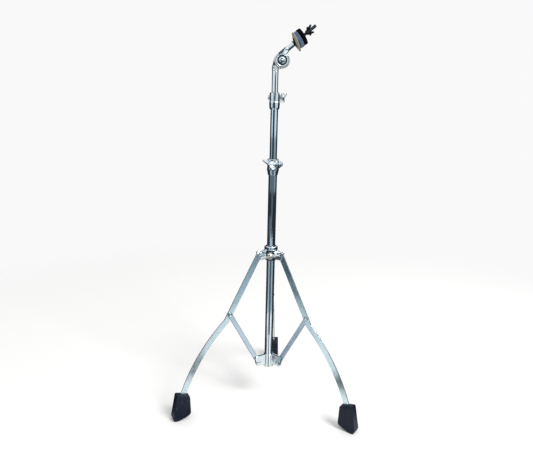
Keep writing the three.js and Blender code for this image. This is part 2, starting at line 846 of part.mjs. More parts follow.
function makeTilterUpper() {
  const disc = towardsFront(turned(discProfile(true)));
  const neck = slab(
    [-tilter.discRadius, -arm.neckHalf, 0],
    [-arm.neckRight, arm.neckHalf, arm.stepAt],
  );
  const barrel = turned([
    [0, arm.stepAt - arm.stepHeight],
    [arm.stepRadius, arm.stepAt],
    [arm.stepRadius, arm.stepAt + arm.stepHeight],
    [arm.barrelRadius, arm.stepAt + arm.stepHeight],
    [arm.barrelRadius, arm.barrelTop],
    [0, arm.barrelTop],
  ]).translate(rodX, 0, 0);
  const back = halfFace + tilter.discDepth;
  const reach = tilter.discRadius + tilter.swingGap;
  const rearCut = rod3(reach, -halfFace, 2 * back).rotateX(-Math.PI / 2);
  const seatCut = towardsFront(rod3(tilter.springSeatRadius, 0, halfFace + tilter.springSeat));
  const dishCut = towardsFront(rod3(tilter.dishRadius, back - tilter.dishDepth, 2 * back));
  const hole = towardsFront(rod3(boltHoleRadius, -back, 2 * back, smallSides));
  const rodHole = rod3(rod.radius + gap, rodFoot - gap, arm.barrelTop + overrun, smallSides);
  rodHole.translate(rodX, 0, 0);
  const casting = cut(joined(disc, neck, barrel), rearCut, seatCut, dishCut, hole, rodHole);
  addMesh(armGroup, 'tilter_upper', casting, castChrome);
}

makeTilterUpper();

function makeTilterBolt() {
  const back = halfFace + tilter.discDepth;
  const seat = back - tilter.dishDepth + gap;
  const washerTop = seat + tilterBolt.washerHeight;
  const washer = ring(boltHoleRadius, tilterBolt.washerRadius, seat, washerTop);
  addMesh(armGroup, 'tilter_washer', towardsFront(washer), castChrome);
  const headLow = washerTop + gap;
  const headTop = headLow + tilterBolt.headHeight;
  const tail = -(back - tilter.dishDepth + gap + rearWing.height);
  const head = turned([
    [0, tail],
    [boltRadius, tail],
    [boltRadius, headLow],
    [tilterBolt.headRadius, headLow],
    [tilterBolt.headRadius, headTop - tilterBolt.dome],
    [tilterBolt.headRadius - tilterBolt.dome, headTop],
    [0, headTop],
  ], smallSides);
  addMesh(armGroup, 'tilter_bolt', towardsFront(head), castChrome);
}

makeTilterBolt();

// The spring that parts the ratchet faces, wound in the seats round the bolt.
function makeTilterSpring() {
  const { radius, wire, turns } = tilterSpring;
  const reach = halfFace + tilter.springSeat - wire - gap;
  class Coil extends THREE.Curve {
    getPoint(share, target = new THREE.Vector3()) {
      const angle = 2 * Math.PI * turns * share;
      return target.set(radius * Math.cos(angle), (2 * share - 1) * reach, radius * Math.sin(angle));
    }
  }
  const section = new THREE.Shape();
  section.absarc(0, 0, wire, 0, 2 * Math.PI, false);
  const settings = { steps: turns * arcSteps * 2, extrudePath: new Coil(), curveSegments: 3 };
  addMesh(tilterGroup, 'tilter_spring', new THREE.ExtrudeGeometry(section, settings), steel);
}

makeTilterSpring();

// A compact wing nut behind the tilter
function makeRearWing() {
  const { span, hubRadius, height, thickness } = rearWing;
  const half = span / 2;
  const root = height * rearWing.rootShare;
  const saddle = height * rearWing.saddleShare;
  const shoulder = half * rearWing.sweepShare;
  const crest = half * rearWing.crestShare;
  const outline = new THREE.Shape();
  outline.moveTo(-hubRadius, root);
  outline.lineTo(hubRadius, root);
  outline.quadraticCurveTo(half, root, half, saddle);
  outline.quadraticCurveTo(half, height, shoulder, height);
  outline.quadraticCurveTo(crest, height, hubRadius, saddle);
  outline.lineTo(-hubRadius, saddle);
  outline.quadraticCurveTo(-crest, height, -shoulder, height);
  outline.quadraticCurveTo(-half, height, -half, saddle);
  outline.quadraticCurveTo(-half, root, -hubRadius, root);
  const wings = plate(outline, thickness, 0, wing.bevel, 1);
  const hubSolid = rod3(hubRadius, 0, saddle, smallSides);
  const bore = rod3(boltRadius + gap, -overrun, height + overrun, smallSides);
  const geometry = cut(joined(hubSolid, wings), bore);
  const mesh = addMesh(tilterGroup, 'tilter_wing_nut', geometry, castChrome);
  mesh.rotation.x = -Math.PI / 2;
  mesh.position.y = halfFace + tilter.discDepth - tilter.dishDepth + gap;
}

makeRearWing();

// Rod, sleeve, cup washer, felts and wing nut, stacked along the arm's Z axis

const rodGroup = new THREE.Group();
rodGroup.position.x = rodX;
armGroup.add(rodGroup);

addMesh(rodGroup, 'cymbal_rod', turned([
  [0, rodFoot],
  [rod.radius, rodFoot],
  [rod.radius, rod.end - rod.tipChamfer],
  [rod.radius - rod.tipChamfer, rod.end],
  [0, rod.end],
], smallSides), steel);

const sleeveFoot = arm.barrelTop + gap;
const sleeveBore = rod.radius + gap;
addMesh(rodGroup, 'rod_sleeve', turned([
  [sleeveBore, sleeveFoot],
  [sleeve.flangeRadius, sleeveFoot],
  [sleeve.flangeRadius, sleeveFoot + sleeve.flangeHeight],
  [sleeve.radius, sleeveFoot + sleeve.flangeHeight],
  [sleeve.radius, sleeve.top],
  [sleeveBore, sleeve.top],
  [sleeveBore, sleeveFoot],
], smallSides), blackPlastic);

// The washer and felts are loose on the sleeve and droop, each about a point on the rod.
const cupDroop = degToRad(stack.cupDroop);
const feltDroop = degToRad(stack.feltDroop);

function addDrooping(name, profile, foot, middle, droop, material) {
  const mesh = addMesh(rodGroup, name, turned(profile).translate(0, 0, -middle), material);
  mesh.rotation.y = droop;
  mesh.position.z = foot + middle / Math.cos(droop);
}

function feltProfile({ radius, height, edge }) {
  const hole = stack.holeRadius;
  return [
    [hole, 0],
    [radius - edge, 0],
    [radius, edge],
    [radius, height - edge],
    [radius - edge, height],
    [hole, height],
    [hole, 0],
  ];
}

const cupHole = stack.holeRadius - gap;
const cupFoot = sleeveFoot + sleeve.flangeHeight + stack.seat + sleeve.flangeRadius * Math.tan(cupDroop);
const cupSlope = cup.depth / (cup.radius - cup.hubRadius) + Math.tan(cupDroop - feltDroop);
const feltEdge = lowerFelt.radius - lowerFelt.edge;
const feltLift = cup.wall + feltEdge * cupSlope - cup.hubRadius * (cupSlope - Math.tan(cupDroop - feltDroop));
const lowerFeltFoot = cupFoot + (feltLift + stack.cupSeat) / Math.cos(feltDroop);
const upperFeltFoot = lowerFeltFoot + (lowerFelt.height + stack.seat) / Math.cos(feltDroop);

addDrooping('cup_washer', [
  [cupHole, 0],
  [cup.hubRadius, 0],
  [cup.radius, cup.depth],
  [cup.radius, cup.depth + cup.wall],
  [cup.hubRadius, cup.wall],
  [cupHole, cup.wall],
  [cupHole, 0],
], cupFoot, cup.wall / 2, cupDroop, castChrome);
const lowerMiddle = lowerFelt.height / 2;
const upperMiddle = upperFelt.height / 2;
addDrooping('lower_felt', feltProfile(lowerFelt), lowerFeltFoot, lowerMiddle, feltDroop, blueFelt);
addDrooping('upper_felt', feltProfile(upperFelt), upperFeltFoot, upperMiddle, feltDroop, blackFelt);

function makeTopNut() {
  const { hubRadius, height, span, wingLow, wingHigh, notch, waist, thickness } = topNut;
  const half = span / 2;
  const outline = new THREE.Shape();
  outline.moveTo(-hubRadius, wingLow);
  outline.lineTo(hubRadius, wingLow);
  outline.lineTo(half, wingLow + thickness / 2);
  outline.lineTo(half, wingLow + thickness);
  outline.lineTo(waist, (wingLow + wingHigh) / 2);
  outline.lineTo(half, wingHigh - thickness / 2);
  outline.lineTo(half - thickness / 2, wingHigh);
  outline.lineTo(hubRadius, notch);
  outline.lineTo(-hubRadius, notch);
  outline.lineTo(-half + thickness / 2, wingHigh);
  outline.lineTo(-half, wingHigh - thickness / 2);
  outline.lineTo(-waist, (wingLow + wingHigh) / 2);
  outline.lineTo(-half, wingLow + thickness);
  outline.lineTo(-half, wingLow + thickness / 2);
  const wings = plate(outline, thickness, 0, wing.bevel, 1);
  const hubSolid = turned([
    [0, 0],
    [hubRadius, 0],
    [hubRadius, height],
    [hubRadius - wing.bevel, height + wing.bevel],
    [0, height + wing.bevel],
  ], smallSides);
  const bore = rod3(rod.radius + gap, -overrun, wingHigh + overrun, smallSides);
  const mesh = addMesh(rodGroup, 'cymbal_wing_nut', cut(joined(hubSolid, wings), bore), blackPlastic);
  mesh.position.z = topNut.foot;
  mesh.rotation.z = degToRad(topNut.turn);
}

makeTopNut();

// The origin is under the middle of the stand's box, on the floor.
stand.updateMatrixWorld(true);
const bounds = new THREE.Box3().setFromObject(stand, true);
const middle = bounds.getCenter(new THREE.Vector3());
stand.position.set(-middle.x, -middle.y, -bounds.min.z);

export default stand;
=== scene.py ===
import math

import bmesh
import bpy
from mathutils import Matrix, Vector, noise
from mathutils.geometry import tessellate_polygon


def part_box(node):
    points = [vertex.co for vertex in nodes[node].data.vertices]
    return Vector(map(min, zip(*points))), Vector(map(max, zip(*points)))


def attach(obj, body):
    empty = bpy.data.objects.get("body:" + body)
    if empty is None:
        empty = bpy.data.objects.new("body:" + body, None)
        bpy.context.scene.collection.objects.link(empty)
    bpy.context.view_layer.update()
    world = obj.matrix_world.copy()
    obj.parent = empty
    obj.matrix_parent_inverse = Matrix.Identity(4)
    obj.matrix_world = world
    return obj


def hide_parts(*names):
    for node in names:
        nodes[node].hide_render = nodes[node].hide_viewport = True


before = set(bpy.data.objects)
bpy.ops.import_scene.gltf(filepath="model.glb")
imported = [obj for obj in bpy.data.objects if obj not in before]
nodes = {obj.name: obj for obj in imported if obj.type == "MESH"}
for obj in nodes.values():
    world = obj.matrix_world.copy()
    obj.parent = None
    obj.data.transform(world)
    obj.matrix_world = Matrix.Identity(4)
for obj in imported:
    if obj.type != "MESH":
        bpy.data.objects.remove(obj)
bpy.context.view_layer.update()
scene = bpy.context.scene
scene.view_settings.view_transform = "Standard"

# The visual model of a straight cymbal stand, set up as in its photograph. The stand's own frame
# is in millimetres, with the tubes' axis on Z
MM = 0.001
BASE_TUBE_FOOT = 103
tube_low, tube_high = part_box("base_tube")
AXIS = Vector(((tube_low.x + tube_high.x) / 2, (tube_low.y + tube_high.y) / 2, 0))
STAND = Matrix.Translation(AXIS + Vector((0, 0, tube_low.z - BASE_TUBE_FOOT * MM))) @ Matrix.Scale(MM, 4)


def turn(degrees, axis):
    """A rotation about one of the axes."""
    return Matrix.Rotation(math.radians(degrees), 4, axis)


def move(x, y, z):
    return Matrix.Translation((x, y, z))


def radial(azimuth, height=0):
    """A frame on the tubes' axis with X pointing at an azimuth, counted from the front to the right."""
    return STAND @ turn(azimuth - 90, "Z") @ move(0, 0, height)


# Camera, fitted to the photograph
YAW = math.radians(3.68)
PAN = math.radians(-0.56)
PITCH = math.radians(12.47)
ROLL = math.radians(1.27)
DISTANCE, HEIGHT = 1.329, 0.781
FOCAL_PIXELS, IMAGE_WIDTH, SENSOR_WIDTH = 520, 533, 36


def place_camera():
    around = Matrix.Rotation(YAW, 3, "Z")
    level = Vector((math.sin(PAN), math.cos(PAN), 0))
    forward = around @ (level * math.cos(PITCH) - Vector((0, 0, math.sin(PITCH))))
    right = around @ Vector((math.cos(PAN), -math.sin(PAN), 0))
    up = right.cross(forward)
    rolled_right = math.cos(ROLL) * right + math.sin(ROLL) * up
    rolled_up = math.cos(ROLL) * up - math.sin(ROLL) * right
    data = bpy.data.cameras.new("camera")
    data.sensor_fit = "HORIZONTAL"
    data.sensor_width = SENSOR_WIDTH
    data.lens = FOCAL_PIXELS / IMAGE_WIDTH * SENSOR_WIDTH
    camera = bpy.data.objects.new("camera", data)
    scene.collection.objects.link(camera)
    place = AXIS + around @ Vector((0, -DISTANCE, 0)) + Vector((0, 0, HEIGHT))
    axes = Matrix((rolled_right, rolled_up, -forward)).transposed()
    camera.matrix_world = Matrix.Translation(place) @ axes.to_4x4()
    scene.camera = camera


place_camera()


# Materials

COLOUR_BAND, GLOSS_BAND, SPECK_BAND = (0.36, 0.64), (0.35, 0.65), (0.6, 0.7)


def wire(made, inputs):
    """Sets inputs of a node, each to another node's output or to a value."""
    for key, value in inputs.items():
        if isinstance(value, bpy.types.NodeSocket):
            made.id_data.links.new(value, made.inputs[key])
        else:
            made.inputs[key].default_value = value


def node(tree, kind, inputs, out=0, **settings):
    """Adds a shader node and gives one of its outputs."""
    made = tree.nodes.new("ShaderNode" + kind)
    for key, value in settings.items():
        setattr(made, key, value)
    wire(made, inputs)
    return made.outputs[out]


def map_range(tree, value, source=(0, 1), target=(0, 1), **settings):
    """Maps a value from one range to another."""
    limits = dict(zip(("From Min", "From Max", "To Min", "To Max"), (*source, *target)))
    return node(tree, "MapRange", {"Value": value, **limits}, **settings)


def new_material(name):
    material = bpy.data.materials.new(name)
    material.use_nodes = True
    return material, material.node_tree


def finish(name, slot, colors, metallic, roughness, grain=(60, 60, 60), detail=6, bump=0.1,
           depth=0.0002, patch=9, sheen=0.0, specks=None, glint=0.5):
    """A mottled material, its colour and roughness each mixed from two by a fine and a broad noise.

    grain stretches the fine noise, patch scales the broad one, and specks is a colour and a scale.
    """
    material, tree = new_material(name)
    place = node(tree, "TexCoord", {}, "Object")
    stretched = node(tree, "Mapping", {"Vector": place, "Scale": grain})
    fine = node(tree, "TexNoise", {"Vector": stretched, "Scale": 20, "Detail": detail, "Roughness": 0.6})
    broad = node(tree, "TexNoise", {"Vector": place, "Scale": patch, "Detail": 3, "Roughness": 0.5})
    halved = node(tree, "Math", {0: broad, 1: 0.5}, operation="MULTIPLY")
    both = node(tree, "Math", {0: fine, 1: 0.5, 2: halved}, operation="MULTIPLY_ADD")
    colour = node(tree, "ValToRGB", {0: both})
    for stop, position, color in zip(colour.node.color_ramp.elements, COLOUR_BAND, colors):
        stop.position = position
        stop.color = (*color, 1)
    if specks:
        cells = node(tree, "TexNoise", {"Vector": place, "Scale": specks[1], "Detail": 2})
        few = map_range(tree, cells, SPECK_BAND)
        colour = node(tree, "Mix", {0: few, 6: colour, 7: (*specks[0], 1)}, 2, data_type="RGBA")
    wire(tree.nodes["Principled BSDF"], {
        "Base Color": colour, "Metallic": metallic, "Sheen Weight": sheen, "Specular IOR Level": glint,
        "Roughness": map_range(tree, both, GLOSS_BAND, roughness),
        "Normal": node(tree, "Bump", {"Strength": bump, "Distance": depth, "Height": fine})})
    material["slot"] = slot
    return material


TUBE = finish("drawn_chrome", "tube_chrome", ((0.6, 0.71, 0.77), (0.74, 0.84, 0.88)), 1, (0.05, 0.12),
              grain=(90, 90, 1.2), bump=0.05, patch=14)
CAST = finish("cast_chrome", "cast_chrome", ((0.64, 0.74, 0.79), (0.8, 0.88, 0.91)), 1, (0.08, 0.2),
              grain=(22, 22, 22), detail=3, bump=0.1, depth=0.0004, patch=60)
# Painted shade: a dark copy of the cast chrome, laid on grooves, recesses, rims and gaps where shade
# falls
PAINTED_SHADE = finish("painted_shade_in_hollows", "cast_chrome", ((0.03, 0.05, 0.07), (0.1, 0.14, 0.18)), 1,
                 (0.35, 0.6), grain=(40, 40, 40), bump=0.3, patch=120)
ZINC = finish("zinc_strip", "zinc_strip", ((0.52, 0.68, 0.74), (0.73, 0.86, 0.9)), 1, (0.16, 0.3),
              grain=(70, 70, 5), bump=0.14, patch=26, specks=((0.3, 0.4, 0.46), 420))
# Painted shade: a darker, bluer copy of the strip zinc for the braces
SHADED_BRACE_ZINC = finish("shaded_brace_zinc", "zinc_strip", ((0.4, 0.53, 0.62), (0.58, 0.69, 0.78)), 1, (0.16, 0.3),
                    grain=(70, 70, 5), bump=0.14, patch=26, specks=((0.26, 0.35, 0.41), 420))
# Painted shade along one long edge of each brace
PAINTED_EDGE_SHADE = finish("painted_shade_on_brace_edge", "zinc_strip", ((0.1, 0.15, 0.18), (0.2, 0.27, 0.31)), 1,
                  (0.3, 0.5), bump=0.2, patch=90)
NICKEL = finish("satin_nickel", "nickel", ((0.78, 0.78, 0.74), (0.94, 0.94, 0.9)), 1, (0.16, 0.3),
                grain=(30, 30, 30), detail=3, bump=0.18, depth=0.0004, patch=70)
WASHER = finish("worn_washer", "cast_chrome", ((0.4, 0.37, 0.26), (0.6, 0.56, 0.42)), 0.35,
                (0.3, 0.48), grain=(40, 40, 40), bump=0.15, patch=60)
STEEL = finish("plain_steel", "plain_steel", ((0.26, 0.31, 0.33), (0.44, 0.5, 0.52)), 1, (0.26, 0.46),
               bump=0.15, patch=50, specks=((0.16, 0.15, 0.14), 900))
RIVET_STEEL = finish("rivet_steel", "plain_steel", ((0.6, 0.66, 0.69), (0.82, 0.87, 0.89)), 1,
                     (0.12, 0.22), bump=0.12, patch=90)
DARK_STEEL = finish("blued_rod", "plain_steel", ((0.035, 0.065, 0.08), (0.09, 0.14, 0.16)), 1,
                    (0.22, 0.4), bump=0.15, patch=60)
RUBBER = finish("foot_rubber", "foot_rubber", ((0.0015, 0.004, 0.013), (0.005, 0.012, 0.028)), 0,
                (0.4, 0.58), grain=(50, 50, 50), bump=0.35, depth=0.0003, patch=45,
                specks=((0.02, 0.026, 0.04), 160), glint=0.25)
NYLON = finish("nylon", "nylon", ((0.02, 0.022, 0.025), (0.035, 0.037, 0.04)), 0, (0.34, 0.48))
PLASTIC = finish("black_plastic", "black_plastic", ((0.003, 0.003, 0.004), (0.008, 0.008, 0.01)), 0,
                 (0.26, 0.42), grain=(80, 80, 80), bump=0.16, patch=80, glint=0.3)
PRESSED = {"grain": (45, 45, 140), "detail": 8, "bump": 0.8, "depth": 0.0009, "patch": 120}
BLUE_FELT = finish("blue_felt", "blue_felt", ((0.05, 0.085, 0.165), (0.125, 0.18, 0.3)), 0,
                   (0.88, 1.0), sheen=0.1, specks=((0.25, 0.3, 0.42), 900), glint=0.1, **PRESSED)
BLACK_FELT = finish("black_felt", "black_felt", ((0.0008, 0.0007, 0.002), (0.003, 0.0028, 0.007)), 0,
                    (0.88, 1.0), sheen=0.01, specks=((0.016, 0.016, 0.026), 900), glint=0.04, **PRESSED)


# Shapes, each a list of points and a list of faces in millimetres

ON_AXIS, SAME_POINT, WELD = 1e-6, 0.02, 1e-7
NEARLY_STRAIGHT, TRIM_LIMIT, MITRE_LIMIT = 1.54, 0.49, 0.4
CURVE_STEPS, ROWS_PER_TURN = 8, 6
# Edges sharper than these angles stay sharp: on most pieces, and on the feet, felts and cup washer
SHARP, ROUNDED = 34, 50


def lathe(profile, steps=72, shape=None):
    """A solid of revolution about Z. A profile that repeats its first point is a ring."""
    closed = profile[0] == profile[-1]
    points, rings = [], []
    for radius, height in profile[:-1] if closed else profile:
        if radius < ON_AXIS:
            rings.append([len(points)] * steps)
            points.append(Vector((0, 0, height)))
            continue
        rings.append(range(len(points), len(points) + steps))
        for step in range(steps):
            angle = 2 * math.pi * step / steps
            far, high = shape(radius, height, angle) if shape else (radius, height)
            points.append(Vector((far * math.cos(angle), far * math.sin(angle), high)))
    faces = []
    for low, high in zip(rings, rings[1:] + ([rings[0]] if closed else [])):
        for step in range(steps):
            after = (step + 1) % steps
            faces.append(tuple(dict.fromkeys((low[step], low[after], high[after], high[step]))))
    return points, faces


def soft(corners, radius, steps=4):
    """Rounds the corners of a profile or outline; a third number is a corner's own radius."""
    closed = corners[0] == corners[-1]
    ring = corners[:-1] if closed else corners
    result = []
    for index, corner in enumerate(ring):
        here = Vector(corner[:2])
        own = corner[2] if len(corner) > 2 else radius
        if own <= 0 or (not closed and index in (0, len(ring) - 1)):
            result.append(tuple(here))
            continue
        before = Vector(ring[index - 1][:2]) - here
        after = Vector(ring[(index + 1) % len(ring)][:2]) - here
        half = before.angle(after) / 2
        if half > NEARLY_STRAIGHT:
            result.append(tuple(here))
            continue
        trim = min(own / math.tan(half), TRIM_LIMIT * before.length, TRIM_LIMIT * after.length)
        start = here + before.normalized() * trim
        end = here + after.normalized() * trim
        for step in range(steps + 1):
            share = step / steps
            spot = start * (1 - share) ** 2 + here * 2 * share * (1 - share) + end * share ** 2
            result.append(tuple(spot))
    if closed:
        result.append(result[0])
    return result


def drawn(start, *parts):
    """An outline of straight lines (x, z) and curves (control x, control z, x, z)."""
    points = [Vector(start)]
    for part in parts:
        last = points[-1]
        if len(part) == 2:
            points.append(Vector(part))
            continue
        control, end = Vector(part[:2]), Vector(part[2:])
        for step in range(1, CURVE_STEPS + 1):
            share = step / CURVE_STEPS
            points.append(last * (1 - share) ** 2 + control * 2 * share * (1 - share) + end * share ** 2)
    return points


def mirrored(right):
    """A whole outline from its right half."""
    left = [Vector((-x, z)) for x, z in reversed(right)]
    return left[-1:] + right + left


def arc(x, z, radius, start, end, steps=12):
    """Points on a circle from one angle to another."""
    angles = [start + (end - start) * step / steps for step in range(steps + 1)]
    return [(x + radius * math.cos(angle), z + radius * math.sin(angle)) for angle in angles]


def tidy(points, clockwise):
    """Drops repeated points and sets the turning direction of an outline."""
    kept = []
    for point in map(Vector, points):
        if not kept or (point - kept[-1]).length > SAME_POINT:
            kept.append(point)
    if (kept[0] - kept[-1]).length < SAME_POINT:
        kept.pop()
    area = sum(a.x * b.y - b.x * a.y for a, b in zip(kept, kept[1:] + kept[:1]))
    return kept if (area < 0) == clockwise else kept[::-1]


def inset(points, distance):
    """Moves an outline inwards."""
    result = []
    for index, point in enumerate(points):
        before = (point - points[index - 1]).normalized()
        after = (points[(index + 1) % len(points)] - point).normalized()
        first, second = Vector((-before.y, before.x)), Vector((-after.y, after.x))
        result.append(point + (first + second) * distance / max(MITRE_LIMIT, 1 + first.dot(second)))
    return result


def plate(outline, thickness, offset=0, edge=0.6, steps=3, holes=(), shape=None):
    """A plate in the XZ plane with rounded edges, its thickness centred on y = offset."""
    loops = [tidy(outline, False)] + [tidy(hole, True) for hole in holes]
    layers = []
    for side in (-1, 1):
        for step in range(steps + 1)[::side]:
            angle = math.pi / 2 * step / steps
            depth = side * (thickness / 2 - edge + edge * math.sin(angle))
            layers.append((edge * (1 - math.cos(angle)), depth))
    points, faces, starts = [], [], []
    for distance, depth in layers:
        begins = []
        for loop in loops:
            begins.append(len(points))
            points.extend(Vector((spot.x, offset + depth, spot.y)) for spot in inset(loop, distance))
        starts.append(begins)
    for low, high in zip(starts, starts[1:]):
        for which, loop in enumerate(loops):
            count = len(loop)
            for index in range(count):
                after = (index + 1) % count
                a, b = low[which], high[which]
                faces.append((a + index, a + after, b + after, b + index))
    for begins in (starts[0], starts[-1]):
        flat = [points[begin:begin + len(loop)] for begin, loop in zip(begins, loops)]
        for triangle in tessellate_polygon(flat):
            faces.append(tuple(begins[0] + index for index in triangle))
    if shape:
        points = [shape(point) for point in points]
    return points, faces


def rod(radius, low, high, steps=48, edge=0.3):
    """A round bar along Z."""
    return lathe(soft([(0, low), (radius, low), (radius, high), (0, high)], edge, 2), steps)


def ring(inner, outer, low, high, steps=72, edge=0.3):
    """A tube along Z."""
    corners = [(inner, low), (outer, low), (outer, high), (inner, high), (inner, low)]
    return lathe(soft(corners, edge, 2), steps)


def box(low, high):
    """A block between two corners."""
    spots = [(x, y, z) for x in (low[0], high[0]) for y in (low[1], high[1]) for z in (low[2], high[2])]
    faces = [(0, 1, 3, 2), (4, 6, 7, 5), (0, 4, 5, 1), (2, 3, 7, 6), (0, 2, 6, 4), (1, 5, 7, 3)]
    return [Vector(spot) for spot in spots], faces


def moved(part, matrix):
    return [matrix @ point for point in part[0]], part[1]


def along_y(part, backwards=False):
    """Turns a part about Z into one about Y, pointing to -Y or, backwards, to +Y."""
    return moved(part, turn(-90 if backwards else 90, "X"))


def turned(corners, radius=0.4, steps=48, arcs=4):
    """A solid of revolution with soft corners."""
    return lathe(soft(corners, radius, arcs), steps)


def gathered(*parts):
    """Several solids as one part, not joined."""
    points, faces = [], []
    for part_points, part_faces in parts:
        start = len(points)
        points.extend(part_points)
        faces.extend(tuple(start + index for index in face) for face in part_faces)
    return points, faces


def object_of(name, part):
    """A part as a mesh object."""
    mesh = bpy.data.meshes.new(name)
    mesh.from_pydata([tuple(point) for point in part[0]], [], part[1])
    bm = bmesh.new()
    bm.from_mesh(mesh)
    bmesh.ops.remove_doubles(bm, verts=bm.verts, dist=WELD)
    bmesh.ops.recalc_face_normals(bm, faces=bm.faces)
    bm.to_mesh(mesh)
    bm.free()
    made = bpy.data.objects.new(name, mesh)
    scene.collection.objects.link(made)
    return made


def carved(part, add=(), take=()):
    """Joins solids to a part and cuts others out of it."""
    target = object_of("blank", part)
    tools = []
    for operation, others in (("UNION", add), ("DIFFERENCE", take)):
        for other in others:
            tool = object_of("tool", other)
            tools.append(tool)
            modifier = target.modifiers.new(operation, "BOOLEAN")
            modifier.operation = operation
            modifier.object = tool
            modifier.solver = "MANIFOLD"
    mesh = target.evaluated_get(bpy.context.evaluated_depsgraph_get()).to_mesh()
    points = [vertex.co.copy() for vertex in mesh.vertices]
    faces = [tuple(face.vertices) for face in mesh.polygons]
    for made in tools + [target]:
        data = made.data
        bpy.data.objects.remove(made)
        bpy.data.meshes.remove(data)
    return points, faces


def piece(name, part, place, body, material, inlay=None, sharp=SHARP):
    """A finished piece, which rides a body and replaces the node of its name.

    inlay is a second material and a test of the face centres that take it.
    """
    made = object_of(name + "_skin", part)
    mesh = made.data
    mesh.materials.append(material)
    if inlay:
        mesh.materials.append(inlay[0])
        for face in mesh.polygons:
            face.material_index = int(inlay[1](face.center))
    mesh.transform(place)
    mesh.polygons.foreach_set("use_smooth", [True] * len(mesh.polygons))
    mesh.set_sharp_from_angle(angle=math.radians(sharp))
    weighted = made.modifiers.new("flat faces", "WEIGHTED_NORMAL")
    weighted.keep_sharp = True
    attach(made, body)
    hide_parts(name)
    return made


def threaded(radius, pitch, depth, low, high, steps=32):
    """A screw thread as a solid of revolution with a helical wave."""
    rows = round((high - low) / pitch * ROWS_PER_TURN)

    def wave(far, height, angle):
        if far < radius or not low < height < high:
            return min(far, radius - depth), height
        phase = (height / pitch - angle / (2 * math.pi)) % 1
        run = min(1, (height - low) / pitch, (high - height) / pitch)
        return radius - depth * (1 - run + run * abs(2 * phase - 1)), height

    side = [(radius, low + (high - low) * row / rows) for row in range(rows + 1)]
    return lathe([(0, low), *side, (0, high)], steps, wave)


# Telescoping tubes and their bushings

# Steps round the larger solids
AROUND = 96
TUBE_WALL = 1.2
BASE_RADIUS, MIDDLE_RADIUS, TOP_RADIUS = 11, 9.5, 8
BASE_TOP, MIDDLE_TOP, TOP_TOP = 650, 813, 885.5
MIDDLE_LENGTH, TOP_LENGTH = 400, 330
# How much wider than its tube a clamp's bore is, and the play between pieces
BORE, GAP = 2.2, 0.3


def tube(name, radius, low, high, body):
    piece(name, ring(radius - TUBE_WALL, radius, low, high, AROUND, 0.4), STAND, body, TUBE)


tube("base_tube", BASE_RADIUS, BASE_TUBE_FOOT, BASE_TOP, "base")
tube("middle_tube", MIDDLE_RADIUS, MIDDLE_TOP - MIDDLE_LENGTH, MIDDLE_TOP, "middle")
tube("top_tube", TOP_RADIUS, TOP_TOP - TOP_LENGTH, TOP_TOP, "top")

BUSHING_HEIGHT, BEVEL = 20.5, 1.4
SLIT_HALF, SLIT_START, SLIT_TURN = 0.5, 6, -60
# How far a cutting solid reaches beyond what it cuts
BEYOND = 4


def bushing(prefix, outer_radius, inner_radius, top, body):
    """The slit sleeve in a clamp's bore, round the tube above."""
    inner, outer = inner_radius + GAP / 2, outer_radius + BORE - GAP
    low, shoulder = top + GAP, top + BUSHING_HEIGHT
    high = shoulder + BEVEL
    corners = [(inner, low), (outer, low), (outer, shoulder), (outer - BEVEL, high, 0.5),
               (inner, high), (inner, low)]
    slit = box((0, -SLIT_HALF, top + SLIT_START), (outer + BEYOND, SLIT_HALF, shoulder + BEYOND))
    part = carved(turned(corners, 0.4, 72, 2), take=[moved(slit, turn(SLIT_TURN, "Z"))])
    piece(prefix + "_bushing", part, STAND, body, NYLON)


bushing("base", BASE_RADIUS, MIDDLE_RADIUS, BASE_TOP, "middle_swivel")
bushing("upper", MIDDLE_RADIUS, TOP_RADIUS, MIDDLE_TOP, "top_swivel")

# Height clamps with their wing bolts and nuts

BOLT_RADIUS, THREAD_PITCH, THREAD_DEPTH = 3.9, 1.25, 0.5
HOLE = BOLT_RADIUS + 0.35
EAR_HALF, EAR_REACH, EAR_LOW, EAR_HIGH, EAR_ROUND = 7.5, 27, 19.2, 39.3, 6
EAR_BOSS, EAR_SLIT_HALF, BOLT_REACH = 7.4, 1.4, 20
CLAMP_TOP, SKIRT_TOP, SEAT_TOP = 40.5, 18, 20
BOLT_HEIGHT = (CLAMP_TOP + SKIRT_TOP) / 2
WING_SPAN, WING_THICKNESS, WING_THINNING = 54, 5.4, 0.34
NUT_RADIUS, NUT_HEIGHT, NUT_BEVEL_RADIUS, NUT_BEVEL = 6.8, 5.8, 6.15, 4.9
# Points of the nut farther out than this follow the hexagon
NUT_ROUND = 6


def wing_bolt(shank, hub_radius=6.6):
    """A wing bolt about Z, its wings above 0 and its shank below."""
    half = WING_SPAN / 2
    root, low, tip, high, saddle = 6, 8, 15.5, 22, 19.6

    def thinned(point):
        """Thins the wings towards their ends."""
        out = min(1, abs(point.x) / half)
        return Vector((point.x, point.y * (1 - WING_THINNING * out ** 1.5), point.z))

    right = drawn((hub_radius, root), (half * 0.45, low, half - 3, low + 0.5), (half, low + 2, half, tip),
                  (half, high, half - 5, high), (half * 0.55, high, hub_radius, saddle))
    wings = plate(mirrored(right), WING_THICKNESS, edge=2.1, steps=4, shape=thinned)
    foot = max(7, hub_radius)
    hub = turned([(0, 0), (foot, 0, 0.3), (foot, 2.5, 0.5), (hub_radius, 3.7, 0.6), (hub_radius, 14, 2),
                  (0.72 * hub_radius, 17, 3), (0, 18)], 0.5, 48, 6)
    shaft = threaded(BOLT_RADIUS, THREAD_PITCH, THREAD_DEPTH, -shank, -1)
    return gathered(wings, hub, shaft, rod(BOLT_RADIUS - THREAD_DEPTH, -1.2, 1, 32, 0.1))


